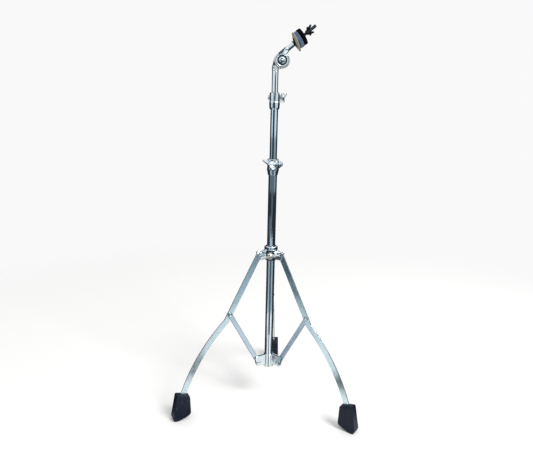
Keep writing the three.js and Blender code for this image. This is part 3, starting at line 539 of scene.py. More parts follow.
def hex_nut(bore):
    """A flanged hexagon nut about Z."""
    flat = NUT_RADIUS * math.cos(math.pi / 6)

    def hexagon(far, height, angle):
        """Brings the points of the sides to the hexagon's flats."""
        aside = (angle + math.pi / 6) % (math.pi / 3) - math.pi / 6
        edge = flat / math.cos(aside)
        return (min(edge, far) if far > NUT_ROUND else far), height

    profile = soft([(bore, 0), (NUT_RADIUS, 0, 0), (NUT_RADIUS, NUT_BEVEL, 0.2),
                    (NUT_BEVEL_RADIUS, NUT_HEIGHT, 0.3), (bore, NUT_HEIGHT), (bore, 0)], 0.3, 2)
    return carved(lathe(profile, AROUND, hexagon), add=[ring(bore, 6.9, 0, 1.4, 48)])


def clamp(prefix, tube_radius, top, azimuth, skirt_foot, skirt_top, skirt_waist, body_radius, wing_turn,
          body):
    """A height clamp on a tube's end, with its wing bolt and its nut."""
    place = radial(azimuth, top - SEAT_TOP)
    bore, seat = tube_radius + BORE, tube_radius + GAP / 2
    rim = (body_radius - bore) / 2
    casting = turned([
        (seat, 0), (skirt_foot, 0, 0.8), (*skirt_waist, 3), (skirt_top, 13.5, 3),
        (skirt_top, SKIRT_TOP, 0.7), (body_radius, EAR_LOW, 0.9),
        (body_radius, CLAMP_TOP - rim, 0.5), (body_radius - rim, CLAMP_TOP, 0.3),
        (bore, CLAMP_TOP), (bore, SEAT_TOP), (seat, SEAT_TOP), (seat, 0)], 0.3, AROUND, 3)
    centre, root = EAR_REACH - EAR_ROUND, bore - 3
    lug = [(root, EAR_LOW), *arc(centre, EAR_LOW + EAR_ROUND, EAR_ROUND, -math.pi / 2, 0),
           *arc(centre, EAR_HIGH - EAR_ROUND, EAR_ROUND, 0, math.pi / 2), (root, EAR_HIGH)]
    ears = plate(lug, 2 * EAR_HALF, edge=1.5, steps=4)
    reach = EAR_HALF + 0.25
    bosses = turned([(0, -reach), (EAR_BOSS, -reach), (EAR_BOSS, reach), (0, reach)], 0.5, 48, 3)
    at_bolt = move(BOLT_REACH, 0, BOLT_HEIGHT)
    part = carved(casting, add=[ears, moved(along_y(bosses), at_bolt)], take=[
        rod(bore, SEAT_TOP, 60, AROUND, 0),
        box((0, -EAR_SLIT_HALF, SKIRT_TOP + 0.6), (40, EAR_SLIT_HALF, 60)),
        moved(along_y(rod(HOLE, -30, 30)), at_bolt),
    ])
    piece(prefix + "_collar", part, place, body, CAST)
    shank = 2 * EAR_HALF + 2 * GAP + NUT_HEIGHT + 1.2
    ear = EAR_HALF + GAP
    screw = place @ move(BOLT_REACH, -ear, BOLT_HEIGHT) @ turn(90, "X") @ turn(wing_turn - 90, "Z")
    piece(prefix + "_wing_bolt", wing_bolt(shank), screw, prefix + "_wing", CAST)
    nut = place @ move(BOLT_REACH, ear, BOLT_HEIGHT) @ turn(-90, "X")
    piece(prefix + "_clamp_nut", hex_nut(BOLT_RADIUS + GAP), nut, body, ZINC)


clamp("base", BASE_RADIUS, BASE_TOP, 34, 12.4, 15.4, (14.0, 7), 14.8, 68, "base")
clamp("upper", MIDDLE_RADIUS, MIDDLE_TOP, -170, 10.8, 13.3, (12.7, 3.5), 12.7, 67, "middle")

# Tripod strips, rivets and rubber feet

# Azimuths of the legs
SIDES = {"rear": 180, "right": 60, "left": -60}
# The pins at the sliding collar, at the knee and at the hub, seen from the side
P = Vector((32, 425))
K = Vector((115, 267.4))
H = Vector((31.6, 118))
STRIP, LEG_WIDTH, STRUT_WIDTH = 3, 16, 12.5
LEG_OFFSET, STRUT_OFFSET = -1.65, 1.65
PIN_HOLE, WIDE_PIN_HOLE = 2.9, 3.8
SHANK, HEAD, DOME, TAIL = 2.6, 5.4, 4.6, 4.6
FOOT_WIDTH, FOOT_DEPTH, FOOT_RISE = 27, 68.5, 2.5
FOOT_LOW, FOOT_HIGH = 26.6, 23
GROOVES, GROOVE_WIDTH, GROOVE_FLOOR = (9, 15, 21), 1.2, 13
POCKET_PLAY = 0.35


def leg_path():
    """A leg's middle line with its headings: straight, bent out, curved down, straight into the foot."""
    upper = (K - P).length
    heading = math.atan2(K.x - P.x, P.y - K.y)
    bend, curve = math.radians(18), -math.radians(26)
    stretches = [(upper + 16, 0, 1), (26 * bend, bend, 10), (214, curve, 48), (34, 0, 1)]
    x, z = P
    path = [(x, z, heading)]
    for length, angle, steps in stretches:
        for step in range(steps):
            x += math.sin(heading + angle / steps / 2) * length / steps
            z -= math.cos(heading + angle / steps / 2) * length / steps
            heading += angle / steps
            path.append((x, z, heading))
    return path


PATH = leg_path()
ENTRY = PATH[-2]


def strip(path, half):
    """The outline of a strip along a path, round at its start."""
    left = [(x - half * math.cos(a), z - half * math.sin(a)) for x, z, a in path]
    right = [(x + half * math.cos(a), z + half * math.sin(a)) for x, z, a in path]
    x, z, a = path[0]
    return right + left[::-1] + arc(x, z, half, a + math.pi, a)


def strut_outline(half):
    """The outline of a brace, round at both ends."""
    start = math.atan2(H.x - K.x, K.y - H.y)
    middle = start + math.pi
    return arc(K.x, K.y, half, start, middle) + arc(H.x, H.y, half, middle, start + 2 * math.pi)


def shaded_edge(side):
    """Faces on one long edge of a brace that take painted shade, on its outer side for 1 and on its inner
    side for -1.
    """
    along = (H - K).normalized()
    outward = Vector((-along.y, along.x))

    def on_edge(spot):
        return side * (Vector((spot.x, spot.z)) - K).dot(outward) > STRUT_WIDTH / 2 - 0.75

    return on_edge


def circle(centre, radius):
    return arc(centre.x, centre.y, radius, 0, 2 * math.pi, 32)


def rivet(half):
    """A rivet along Y with its domed head at -Y; half is half the length that it holds."""
    low = -half
    profile = [(0, low - 2), (3, low - 1.85, 1), (4.5, low - 0.8, 0.4), (DOME, low - 0.35, 0),
               (HEAD, low - 0.35, 0.2), (HEAD, low, 0), (SHANK, low, 0), (SHANK, half, 0),
               (TAIL, half, 0.2), (TAIL, half + 0.9, 0.5), (2.2, half + 1.5, 0.6), (0, half + 1.5)]
    return along_y(turned(profile, 0.3, 40, 3), backwards=True)


def under_head(spot):
    """Faces of a rivet's rim, which take a painted shadow round the dome."""
    return math.hypot(spot.x, spot.z) > DOME


def foot():
    """A rubber foot with the pocket of its leg and its grooves, narrower towards the top."""
    corners = [(-14.5, -5.5, 4), (-16.5, -52, 7), (-13, -57.5, 7), (17, -FOOT_DEPTH, 6),
               (28.7, -FOOT_DEPTH, 7), (31.2, -59, 7), (20.5, FOOT_RISE, 4)]
    corners = [(x + ENTRY[0], z + ENTRY[1], own) for x, z, own in corners]
    top, low = ENTRY[1] + FOOT_RISE, ENTRY[1] - FOOT_DEPTH

    def taper(point):
        share = (point.z - low) / (top - low)
        width = (FOOT_LOW + (FOOT_HIGH - FOOT_LOW) * share) / FOOT_WIDTH
        return Vector((point.x, LEG_OFFSET + (point.y - LEG_OFFSET) * width, point.z))

    body = plate(soft(corners + corners[:1], 4, 4), FOOT_WIDTH, LEG_OFFSET, edge=2.2, steps=5)
    x, z, a = PATH[-1]
    deeper = (x + POCKET_PLAY * math.sin(a), z - POCKET_PLAY * math.cos(a), a)
    pocket = strip(PATH[-6:] + [deeper], LEG_WIDTH / 2 + POCKET_PLAY)
    cuts = [plate(pocket, STRIP + 0.9, LEG_OFFSET, edge=0.05)]
    for height in GROOVES:
        start, end = low + height, low + height + GROOVE_WIDTH
        for side in (-1, 1):
            near, far = sorted((LEG_OFFSET + side * GROOVE_FLOOR, LEG_OFFSET + side * 30))
            cuts.append(box((ENTRY[0] - 60, near, start), (ENTRY[0] + 60, far, end)))
    points, faces = carved(body, take=cuts)
    return [taper(point) for point in points], faces


LEG_PART = plate(strip(PATH, LEG_WIDTH / 2), STRIP, LEG_OFFSET, edge=0.9,
                 holes=[circle(K, PIN_HOLE), circle(P, WIDE_PIN_HOLE)])
STRUT_PART = plate(strut_outline(STRUT_WIDTH / 2), STRIP, STRUT_OFFSET, edge=0.9,
                   holes=[circle(K, PIN_HOLE), circle(H, PIN_HOLE)])
FOOT_PART = foot()
CHEEK_HALF, CHEEK = STRIP / 2 + 0.8, 2.6
KNEE_RIVET, CLEVIS_RIVET = rivet(STRIP + GAP * 1.5), rivet(CHEEK_HALF + CHEEK + GAP)
# Rivets take painted shade round their domes
RIVETED = RIVET_STEEL, (PAINTED_SHADE, under_head)

for name, azimuth in SIDES.items():
    place = radial(azimuth)
    # The right brace takes painted shade on its inner edge, the others on their outer edge
    dark_edge = shaded_edge(-1 if name == "right" else 1)
    piece(name + "_leg", LEG_PART, place, name + "_leg", ZINC)
    piece(name + "_strut", STRUT_PART, place, name + "_brace", SHADED_BRACE_ZINC, (PAINTED_EDGE_SHADE, dark_edge))
    piece(name + "_foot", FOOT_PART, place, name + "_leg", RUBBER, sharp=ROUNDED)
    piece(name + "_knee_rivet", KNEE_RIVET, place @ move(K.x, 0, K.y), name + "_brace", *RIVETED)
    pin = place @ move(P.x, LEG_OFFSET, P.y)
    piece(name + "_collar_pin", CLEVIS_RIVET, pin, "leg_slider", *RIVETED)
    pin = place @ move(H.x, STRUT_OFFSET, H.y)
    piece(name + "_hub_pin", CLEVIS_RIVET, pin, "base", *RIVETED)


def clevises(bore, radius, pin, ear_foot, ear_tip, ear_low, ear_high, offset):
    """Three pairs of cheeks with the webs between them, and the holes of their pins."""
    root, web_end, tip, corner = bore + 0.6, radius + 1.6, pin.x + ear_tip, ear_tip - ear_foot
    outline = soft([(root, ear_low, 0), (pin.x + ear_foot, ear_low, 2.5), (tip, ear_high - corner, 3),
                    (tip - corner / 2, ear_high - corner / 3, 2.5), (root, ear_high, 0),
                    (root, ear_low, 0)], 2, 4)
    web_low, web_high = ear_low + 0.5, ear_high - 0.8
    web_outline = drawn((root, web_low), (web_end, web_low), (web_end, web_high), (root, web_high))
    parts = []
    for azimuth in SIDES.values():
        aim = turn(azimuth - 90, "Z")
        for side in (-1, 1):
            cheek = plate(outline, CHEEK, offset + side * (CHEEK_HALF + CHEEK / 2), edge=0.8,
                          holes=[circle(pin, PIN_HOLE)])
            parts.append(moved(cheek, aim))
        web = plate(web_outline, 2 * CHEEK_HALF + 0.8, offset, edge=0.3)
        parts.append(moved(web, aim))
    return parts


# Sliding leg collar with its bushing, pressure shoe and wing bolt

COLLAR_FOOT = P.y - 19
COLLAR_TOP = COLLAR_FOOT + 38
COLLAR_RADIUS, RING_RADIUS, RING_LOW = 15.6, 17.6, COLLAR_TOP - 10
SLIDE_INNER = BASE_RADIUS + 1.1
SLIDE_BORE = SLIDE_INNER + 1.7 + GAP
BOSS_HEIGHT, BOSS_RADIUS, BOSS_REACH = P.y - 1.5, 8.2, 23
SHOE_RADIUS, SHOE_HOLE = 4.2, 4.5
LEG_WING_TURN, LEG_WING_HUB = 14, 8.6
FRONT = turn(-90, "Z")


def radially(part, height):
    """Turns a part about Z into one that points to the front, at a height."""
    return moved(part, FRONT @ move(0, 0, height) @ turn(90, "Y"))


casting = turned([
    (SLIDE_BORE, COLLAR_FOOT), (14, COLLAR_FOOT, 0.5), (COLLAR_RADIUS, COLLAR_FOOT + 1.6, 1.2),
    (COLLAR_RADIUS, RING_LOW - 1.6, 1), (RING_RADIUS, RING_LOW, 1), (RING_RADIUS, COLLAR_TOP - 1.6, 1.4),
    (16, COLLAR_TOP, 0.8), (SLIDE_BORE, COLLAR_TOP, 0.5), (SLIDE_BORE, COLLAR_FOOT)], 0.4, AROUND)
boss = turned([(0, 12), (BOSS_RADIUS, 12), (BOSS_RADIUS, BOSS_REACH), (0, BOSS_REACH)], 1)
shoe_hole = radially(rod(SHOE_HOLE, 0, COLLAR_RADIUS), BOSS_HEIGHT)
cheeks = clevises(SLIDE_BORE, COLLAR_RADIUS, P, 3, 8.5, P.y - 15, P.y + 9, LEG_OFFSET)
part = carved(casting, add=[radially(boss, BOSS_HEIGHT)], take=[
    rod(SLIDE_BORE, COLLAR_FOOT - BEYOND, COLLAR_TOP + BEYOND, AROUND, 0),
    radially(rod(HOLE, 0, 30), BOSS_HEIGHT),
    shoe_hole,
])


def under_ring(spot):
    """Faces of the collar's barrel and webs below the polished ring, which take painted shade."""
    return math.hypot(spot.x, spot.y) < 17.3 and spot.z < RING_LOW - 0.6


piece("leg_collar", gathered(part, *cheeks), STAND, "leg_slider", CAST, (PAINTED_SHADE, under_ring))
liner = ring(SLIDE_INNER, SLIDE_BORE - GAP, COLLAR_FOOT + 3, COLLAR_TOP - 3, AROUND)
liner = carved(liner, take=[shoe_hole])
piece("leg_collar_bushing", liner, STAND, "leg_slider", NYLON)
shoe = rod(SHOE_RADIUS, SLIDE_INNER + GAP, SLIDE_BORE - GAP)
piece("pressure_shoe", radially(shoe, BOSS_HEIGHT), STAND, "leg_slider", STEEL)
screw = FRONT @ move(BOSS_REACH + GAP, 0, BOSS_HEIGHT) @ turn(90, "Y") @ turn(90 + LEG_WING_TURN, "Z")
bolt = wing_bolt(BOSS_REACH - SLIDE_BORE - GAP, LEG_WING_HUB)
piece("leg_wing_bolt", bolt, STAND @ screw, "leg_wing", NICKEL)

# Bottom hub, its cross pin and the plug of the tube

HUB_FOOT = H.y - 16
HUB_TOP = HUB_FOOT + 37
HUB_BORE, HUB_RADIUS, HUB_RIM = BASE_RADIUS + GAP, 13.4, 12.2
CROSS_HEIGHT, CROSS_HALF, CROSS_RADIUS, CROSS_HOLE = H.y - 8, 14, 2, 2.3
casting = turned([
    (HUB_BORE, HUB_FOOT), (HUB_RIM, HUB_FOOT, 0.4), (HUB_RADIUS, HUB_FOOT + 1.2, 0.9),
    (HUB_RADIUS, HUB_TOP - 1.2, 0.9), (HUB_RIM, HUB_TOP, 0.4), (HUB_BORE, HUB_TOP),
    (HUB_BORE, HUB_FOOT)], 0.3, AROUND)
cross = move(0, 0, CROSS_HEIGHT) @ turn(90, "Y")
casting = carved(casting, take=[moved(rod(CROSS_HOLE, -20, 20), cross)])
cheeks = clevises(HUB_BORE, HUB_RADIUS, H, 5, 11.5, H.y - 9, H.y + 20, STRUT_OFFSET)


def beside_barrel(spot):
    """Faces of the hub's webs beside its barrel, and the cut rims of its ears, which take painted shade.
    """
    far = math.hypot(spot.x, spot.y)
    lower_rim = (far - H.x - 5) * 0.961 - (spot.z - H.y + 9) * 0.277 > -0.6
    upper_rim = far > 15.3 and spot.z > H.y + 19.3
    return 13.45 < far < 15.3 or lower_rim or upper_rim


piece("bottom_hub", gathered(casting, *cheeks), STAND, "base", CAST, (PAINTED_SHADE, beside_barrel))
cross_pin = rod(CROSS_RADIUS, -CROSS_HALF, CROSS_HALF, edge=0.5)
piece("hub_cross_pin", moved(cross_pin, cross), STAND, "base", STEEL)
cap, plug = BASE_RADIUS - GAP, BASE_RADIUS - TUBE_WALL - GAP
plug_foot, plug_top = BASE_TUBE_FOOT - GAP, CROSS_HEIGHT - CROSS_HOLE
end_plug = turned([
    (0, plug_foot - 1.8), (cap, plug_foot - 1.8, 0.9), (cap, plug_foot, 0.3),
    (plug, plug_foot, 0), (plug, plug_top, 0.8), (0, plug_top)], 0.5, 64)
piece("tube_end_plug", end_plug, STAND, "base", PLASTIC)

# Ratchet tilter: X runs across the tube in the swing plane, -Y is the side of the bolt's head

LIFT, OFFSET, TILTER_TURN, ARM_TILT = 25, 15.5, 9.5, 50.5
PIVOT = STAND @ turn(TILTER_TURN, "Z") @ move(OFFSET, 0, TOP_TOP + LIFT)
ARM = PIVOT @ turn(ARM_TILT, "Y")
FACE, DEPTH, DISC = 0.2, 9.2, 19.5
BACK = FACE + DEPTH
DISH = BACK - 3.4
RECESS, DISH_RADIUS = 6.6, 12.2
GROOVE_OUTER, GROOVE_INNER, GROOVE_BED = DISC - 2.9, DISC - 4.2, BACK - 1.4
TEETH, TOOTH_HEIGHT, TOOTH_START = 54, 1.1, 12


def toothed(far, height, angle):
    """Sets radial teeth into a disc's face."""
    if height > FACE + 0.05 or far < TOOTH_START:
        return far, height
    wave = abs((angle * TEETH / (2 * math.pi)) % 1 * 2 - 1)
    return far, height + TOOTH_HEIGHT * wave


def disc():
    """A toothed disc about Z, its teeth near 0, its dish and ring groove at the back."""
    floor = FACE + 3.2
    corners = [(HOLE, floor), (RECESS, floor), (RECESS, FACE), (13, FACE), (13.2, FACE), (18.9, FACE, 0),
               (DISC, FACE, 0), (DISC, BACK, 0.7), (GROOVE_OUTER, BACK, 0.3),
               (DISC - 3, GROOVE_BED, 0), (DISC - 4.1, GROOVE_BED, 0), (GROOVE_INNER, BACK, 0.3),
               (DISH_RADIUS, BACK, 0.8), (DISH_RADIUS, DISH, 0.5), (HOLE, DISH), (HOLE, floor)]
    return lathe(soft(corners, 0, 3), TEETH * 4, toothed)


def in_groove(spot):
    """Faces of a disc that lie in its dish or in its ring groove, which take painted shade."""
    far, depth = math.hypot(spot.x, spot.z), abs(spot.y)
    in_dish = far < 12.15 and DISH - 0.1 < depth < BACK - 0.5
    return in_dish or GROOVE_INNER < far < GROOVE_OUTER and depth > BACK - 1.6


def under_rim(spot):
    """The grooves of the lower disc, and its rim's outer side below the pivot, which take painted shade.
    """
    return in_groove(spot) or spot.x < -DISC + 2.5 and -14 < spot.z < -1


def along_neck(spot):
    """The grooves of the upper disc, its neck's outer side and the shoulder under the barrel, which take
    painted shade.
    """
    side = spot.x < -DISC + 6 and 2 < spot.z < 24
    shoulder = spot.x < -4 and 17.5 < spot.z < 22
    return in_groove(spot) or side or shoulder


lower_disc = along_y(disc(), backwards=True)
SOCKET_RADIUS, SOCKET_LOW, SOCKET_TOP, SPIGOT_LENGTH = 8.4, GAP - LIFT, 12.5 - LIFT, 18
spigot = TOP_RADIUS - TUBE_WALL - GAP
spigot_foot = SOCKET_LOW - SPIGOT_LENGTH
socket = turned([
    (0, spigot_foot), (spigot, spigot_foot, 0.8), (spigot, SOCKET_LOW, 0),
    (SOCKET_RADIUS, SOCKET_LOW, 0.8), (SOCKET_RADIUS, SOCKET_TOP, 0.8), (0, SOCKET_TOP)], 0.4, 72)
web_low, web_left = 4.5 - LIFT, -OFFSET - SOCKET_RADIUS * 0.86
outline = drawn((web_left, web_low), (-OFFSET + SOCKET_RADIUS, web_low), (0, -DISC), (0, 0), (-DISC, 0),
                (web_left, SOCKET_TOP))
web = plate(outline, 2 * DEPTH - 2, FACE, edge=1.3, steps=4)
clear, beside = rod(DISC + 0.8, -FACE, 40, AROUND, 0), rod(DISC - 1, FACE - 0.1, 40, AROUND, 0)
part = carved(web, add=[moved(socket, move(-OFFSET, 0, 0))], take=[
    along_y(clear),
    along_y(beside, backwards=True),
    box((-60, BACK, -80), (60, 40, 80)),
])
piece("tilter_lower", gathered(lower_disc, part), PIVOT, "top", CAST, (PAINTED_SHADE, under_rim))
nodes["tilter_spring"].data.materials.clear()
nodes["tilter_spring"].data.materials.append(STEEL)

ROD_X, ROD_CLEAR = -(DISC - 6.4), 4.3
BARREL_TOP, BARREL_STEP = 45.6, 24.5
BARREL_RADIUS, SHOULDER_RADIUS, NECK_SIDE = 6.4, 7.6, -4.5
ROD_FOOT = BARREL_TOP - 22
to_rod = move(ROD_X, 0, 0)
upper_disc = along_y(disc())
neck = plate(soft([(-DISC, 0), (-DISC, BARREL_STEP, 3), (NECK_SIDE, BARREL_STEP, 3), (NECK_SIDE, 0),
                   (-DISC, 0)], 3), 12, edge=2, steps=4)
barrel = turned([
    (0, BARREL_STEP - 2.2), (SHOULDER_RADIUS, BARREL_STEP, 0.8),
    (SHOULDER_RADIUS, BARREL_STEP + 2.2, 0.6), (BARREL_RADIUS, BARREL_STEP + 2.2, 0.4),
    (BARREL_RADIUS, BARREL_TOP, 0.9), (0, BARREL_TOP)], 0.4, 72)
part = carved(neck, add=[moved(barrel, to_rod)], take=[
    along_y(clear, backwards=True),
    along_y(beside),
    moved(rod(ROD_CLEAR, ROD_FOOT - GAP, BARREL_TOP + 5, 48, 0), to_rod),
])
piece("tilter_upper", gathered(upper_disc, part), ARM, "arm", CAST, (PAINTED_SHADE, along_neck))

seat = DISH + GAP
washer_top = seat + 1.5
washer = turned([(HOLE, seat), (10, seat), (10, seat + 0.7), (7.9, washer_top, 0), (HOLE, washer_top),
                 (HOLE, seat)], 0.4, 72)
head_low = washer_top + GAP
socket_floor, rim_top, thread_end = head_low + 2.4, head_low + 3.8, -(seat + 15)
head = turned([
    (0, head_low - 0.2), (6, head_low - 0.2, 0.2), (6, head_low + 3.4, 0.8), (5, rim_top, 0.2),
    (4.8, socket_floor, 0), (3.1, socket_floor, 0), (2.9, rim_top, 0.5), (0, head_low + 4.6)], 0.5, 56, 5)
shaft = rod(BOLT_RADIUS - 0.02, -3, head_low, 40, 0)
thread = threaded(BOLT_RADIUS, THREAD_PITCH, THREAD_DEPTH, thread_end, -2.8)


def on_bevel(spot):
    """Faces of the washer's sloping rim, which take painted shade."""
    return math.hypot(spot.x, spot.z) > 7.95


def in_head(spot):
    """Faces of the ring groove in the bolt's head, which take painted shade."""
    return 2.9 < math.hypot(spot.x, spot.z) < 4.95 and -spot.y > head_low + 2


piece("tilter_washer", along_y(washer), ARM, "arm", CAST, (PAINTED_SHADE, on_bevel))
piece("tilter_bolt", along_y(gathered(head, shaft, thread)), ARM, "arm", CAST, (PAINTED_SHADE, in_head))


def small_wing_nut():
    """The tilter's wing nut, about Z."""
    half, hub, root, saddle, height = 18, 6.4, 5.7, 11.7, 15
    right = drawn((hub, root), (half, root, half, saddle), (half, height, half * 0.75, height),
                  (half * 0.5, height, hub, saddle))
    wings = plate(mirrored(right), 5, edge=1.9, steps=4)
    body = turned([(0, 0), (hub, 0, 0.4), (hub - 0.4, saddle, 1.2), (0, saddle)])
    bore = rod(BOLT_RADIUS + GAP, -5, 30, 40, 0)
    return carved(body, add=[wings], take=[bore])


place = PIVOT @ move(0, seat, 0) @ turn(-90, "X")
piece("tilter_wing_nut", small_wing_nut(), place, "tilter_nut", CAST)

# Rod, sleeve, cup washer, felts and wing nut, stacked along the arm

ROD = ARM @ to_rod
ROD_RADIUS, ROD_TOP = 4, 115.2
SLEEVE_FOOT, SLEEVE_TOP, SLEEVE_RADIUS, FLANGE, FLANGE_RADIUS = BARREL_TOP + GAP, 74.5, 5.6, 1.3, 7.6
flange_top = SLEEVE_FOOT + FLANGE
thread = threaded(ROD_RADIUS, THREAD_PITCH, 0.55, 61.5, ROD_TOP)
piece("cymbal_rod", gathered(rod(3.98, ROD_FOOT, 62, 40, 0.4), thread), ROD, "arm", DARK_STEEL)
sleeve = turned([
    (ROD_CLEAR, SLEEVE_FOOT), (FLANGE_RADIUS, SLEEVE_FOOT, 0.4), (FLANGE_RADIUS, flange_top, 0.4),
    (SLEEVE_RADIUS, flange_top, 0.3), (SLEEVE_RADIUS, SLEEVE_TOP, 0.5), (ROD_CLEAR, SLEEVE_TOP, 0.2),
    (ROD_CLEAR, SLEEVE_FOOT)], 0.2, 56)
piece("rod_sleeve", sleeve, ROD, "arm", PLASTIC)

# The washer and the felts hang askew on the sleeve, by these degrees
CUP_DROOP, FELT_DROOP = 12.8, 6
CUP_HOLE, CUP_FLAT, CUP_RADIUS, CUP_RISE, CUP_WALL, CUP_SHADE_RADIUS = 6.8, 9.5, 24.3, 4.6, 1.2, 13
FELT_HOLE, FELT_RADIUS, LOWER_FELT, UPPER_FELT = 7.1, 20.8, 9.4, 10.2
REST_RADIUS = 19.6
CUP_FOOT = flange_top + 0.3 + FLANGE_RADIUS * math.tan(math.radians(CUP_DROOP))
SLOPE = CUP_RISE / (CUP_RADIUS - CUP_FLAT) + math.tan(math.radians(CUP_DROOP - FELT_DROOP))
FELT_LIFT = CUP_WALL + REST_RADIUS * SLOPE - CUP_FLAT * CUP_RISE / (CUP_RADIUS - CUP_FLAT)
FELT_COSINE = math.cos(math.radians(FELT_DROOP))
LOWER_FOOT = CUP_FOOT + (FELT_LIFT + 1) / FELT_COSINE
UPPER_FOOT = LOWER_FOOT + (LOWER_FELT + GAP) / FELT_COSINE


def drooping(name, part, low, middle, droop, material, inlay=None):
    """A piece on the rod, turned by its droop about the middle of its height."""
    centre = ROD @ move(0, 0, low + middle / math.cos(math.radians(droop)))
    place = centre @ turn(droop, "Y") @ move(0, 0, -middle)
    return piece(name, part, place, "arm", material, inlay, ROUNDED)


def in_cup(spot):
    """Faces of the cup washer round its hole, which take a painted shadow of the cup's hollow."""
    return math.hypot(spot.x, spot.y) < CUP_SHADE_RADIUS


cup = turned([
    (CUP_HOLE, 0, 0.2), (CUP_FLAT, 0, 3), (CUP_SHADE_RADIUS + 0.5, 1.243, 0), (CUP_RADIUS, CUP_RISE, 0.3),
    (CUP_RADIUS, CUP_RISE + CUP_WALL, 0.3), (CUP_FLAT, CUP_WALL, 3), (CUP_HOLE, CUP_WALL, 0.2),
    (CUP_HOLE, 0, 0.2)], 0.3, AROUND, 6)
drooping("cup_washer", cup, CUP_FOOT, CUP_WALL / 2, CUP_DROOP, WASHER, (PAINTED_SHADE, in_cup))


def felt(height, seed):
    """A felt about Z, its sides matted by two noises."""
    corners = [(FELT_HOLE, 0, 0.8), (FELT_RADIUS, 0, 2.2), (FELT_RADIUS, height, 2.2),
               (FELT_HOLE, height, 0.8)]
    dense = []
    for first, second in zip(corners, corners[1:] + corners[:1]):
        dense.append(first)
        for step in range(1, 4):
            share = step / 4
            dense.append((*(a + (b - a) * share for a, b in zip(first[:2], second[:2])), 0))
    points, faces = lathe(soft(dense + [dense[0]], 0, 5), 120)
    matted = []
    for point in points:
        spot = point * 0.55 + Vector((seed, 0, 0))
        fibre = point * 2.1 + Vector((0, seed, 0))
        pull = 0.28 * noise.noise(spot) + 0.16 * noise.noise(fibre) - 0.28
        centre = Vector((point.x, point.y, 0)).normalized() * 14 + Vector((0, 0, height / 2))
        matted.append(point + (point - centre).normalized() * pull)
    return matted, faces


lower_felt, upper_felt = felt(LOWER_FELT, 3.1), felt(UPPER_FELT, 8.7)
for pad in (drooping("lower_felt", lower_felt, LOWER_FOOT, LOWER_FELT / 2, FELT_DROOP, BLUE_FELT),
            drooping("upper_felt", upper_felt, UPPER_FOOT, UPPER_FELT / 2, FELT_DROOP, BLACK_FELT)):
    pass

NUT_PLACE, NUT_TURN = 86.5, 48


def cymbal_nut():
    """The plastic wing nut at the top, about Z."""
    half, hub, low, high, waist, thick = 14.5, 6.2, 3, 19, 11, 5
    middle = (low + high) / 2
    side = [(half, low + thick / 2, 1.4), (half, low + thick, 1.4), (waist, middle, 2.4),
            (half, high - thick / 2, 1.4), (half - thick / 2, high, 1.4), (hub, 12, 1.6)]
    corners = [(hub, low, 0)] + side + [(-x, z, own) for x, z, own in reversed(side)] + [(-hub, low, 0)]
    wings = plate(soft(corners + [corners[0]], 1, 4), thick, edge=1.5, steps=4)
    body = turned([(0, 0), (hub, 0, 0.5), (hub, 11.6, 1), (hub - 0.8, 12.2, 0.6), (0, 12.2)])
    return carved(body, add=[wings], take=[rod(ROD_CLEAR, -5, 40, 40, 0)])


place = ROD @ move(0, 0, NUT_PLACE) @ turn(NUT_TURN, "Z")
piece("cymbal_wing_nut", cymbal_nut(), place, "cymbal_nut", PLASTIC)

# Floor, the cards that the metal reflects, and the lights

FLOOR_HALF, FADE_BAND, PAPER_WHITE = 3, (1.0, 1.9), (0.975, 0.975, 0.975)


def glowing(name, colour):
    """A material that only glows, for the cards of painted reflections."""
    material, tree = new_material(name)
    glow = node(tree, "Emission", {"Color": (*colour, 1), "Strength": 1})
    wire(tree.nodes["Material Output"], {"Surface": glow})
    return material


def staged(name, corners, material, mirrored_only=True):
    """Four-cornered faces for the picture only, seen in reflections only unless told otherwise."""
    mesh = bpy.data.meshes.new(name)
    mesh.from_pydata(corners, [], [tuple(range(index, index + 4)) for index in range(0, len(corners), 4)])
    made = bpy.data.objects.new(name, mesh)
    scene.collection.objects.link(made)
    mesh.materials.append(material)
    if mirrored_only:
        made.visible_camera = made.visible_diffuse = False
        made.visible_shadow = made.visible_transmission = False


def paper():
    """The floor's matt material, which fades into the backdrop beyond the stand."""
    material, tree = new_material("paper")
    place = node(tree, "TexCoord", {}, "Object")
    far = node(tree, "VectorMath", {0: place}, "Value", operation="LENGTH")
    fade = map_range(tree, far, FADE_BAND, interpolation_type="SMOOTHSTEP")
    shader = tree.nodes["Principled BSDF"]
    wire(shader, {"Base Color": (*PAPER_WHITE, 1), "Roughness": 0.9, "Specular IOR Level": 0})
    clear = node(tree, "BsdfTransparent", {})
    mix = node(tree, "MixShader", {0: fade, 1: shader.outputs[0], 2: clear})
    wire(tree.nodes["Material Output"], {"Surface": mix})
    return material


corners = [(x * FLOOR_HALF, y * FLOOR_HALF, 0) for x, y in ((-1, -1), (1, -1), (1, 1), (-1, 1))]
staged("floor", corners, paper(), False)

WALL_RADIUS, SHEET_HEIGHT, PANEL_TURN = 1.15, 0.003, 5


def round_stand(azimuth, radius):
    """A place on the floor round the stand, its azimuth counted from the camera's side to the right."""
    angle = math.radians(azimuth + math.degrees(YAW))
    return AXIS.x + radius * math.sin(angle), AXIS.y - radius * math.cos(angle)


def panels(start, end):
    """The azimuths from and to of the flat panels of a card."""
    steps = max(1, round(abs(end - start) / PANEL_TURN))
    edges = [start + (end - start) * step / steps for step in range(steps + 1)]
    return zip(edges, edges[1:])


def wall(start, end, low, high):
    """A curved card that stands round the stand."""
    corners = []
    for begin, stop in panels(start, end):
        near, far = round_stand(begin, WALL_RADIUS), round_stand(stop, WALL_RADIUS)
        corners += [(*near, low), (*far, low), (*far, high), (*near, high)]
    return corners


def sheet(start, end, near, far):
    """A card that lies on the floor."""
    corners = []
    for begin, stop in panels(start, end):
        for azimuth, radius in ((begin, near), (stop, near), (stop, far), (begin, far)):
            corners.append((*round_stand(azimuth, radius), SHEET_HEIGHT))
    return corners


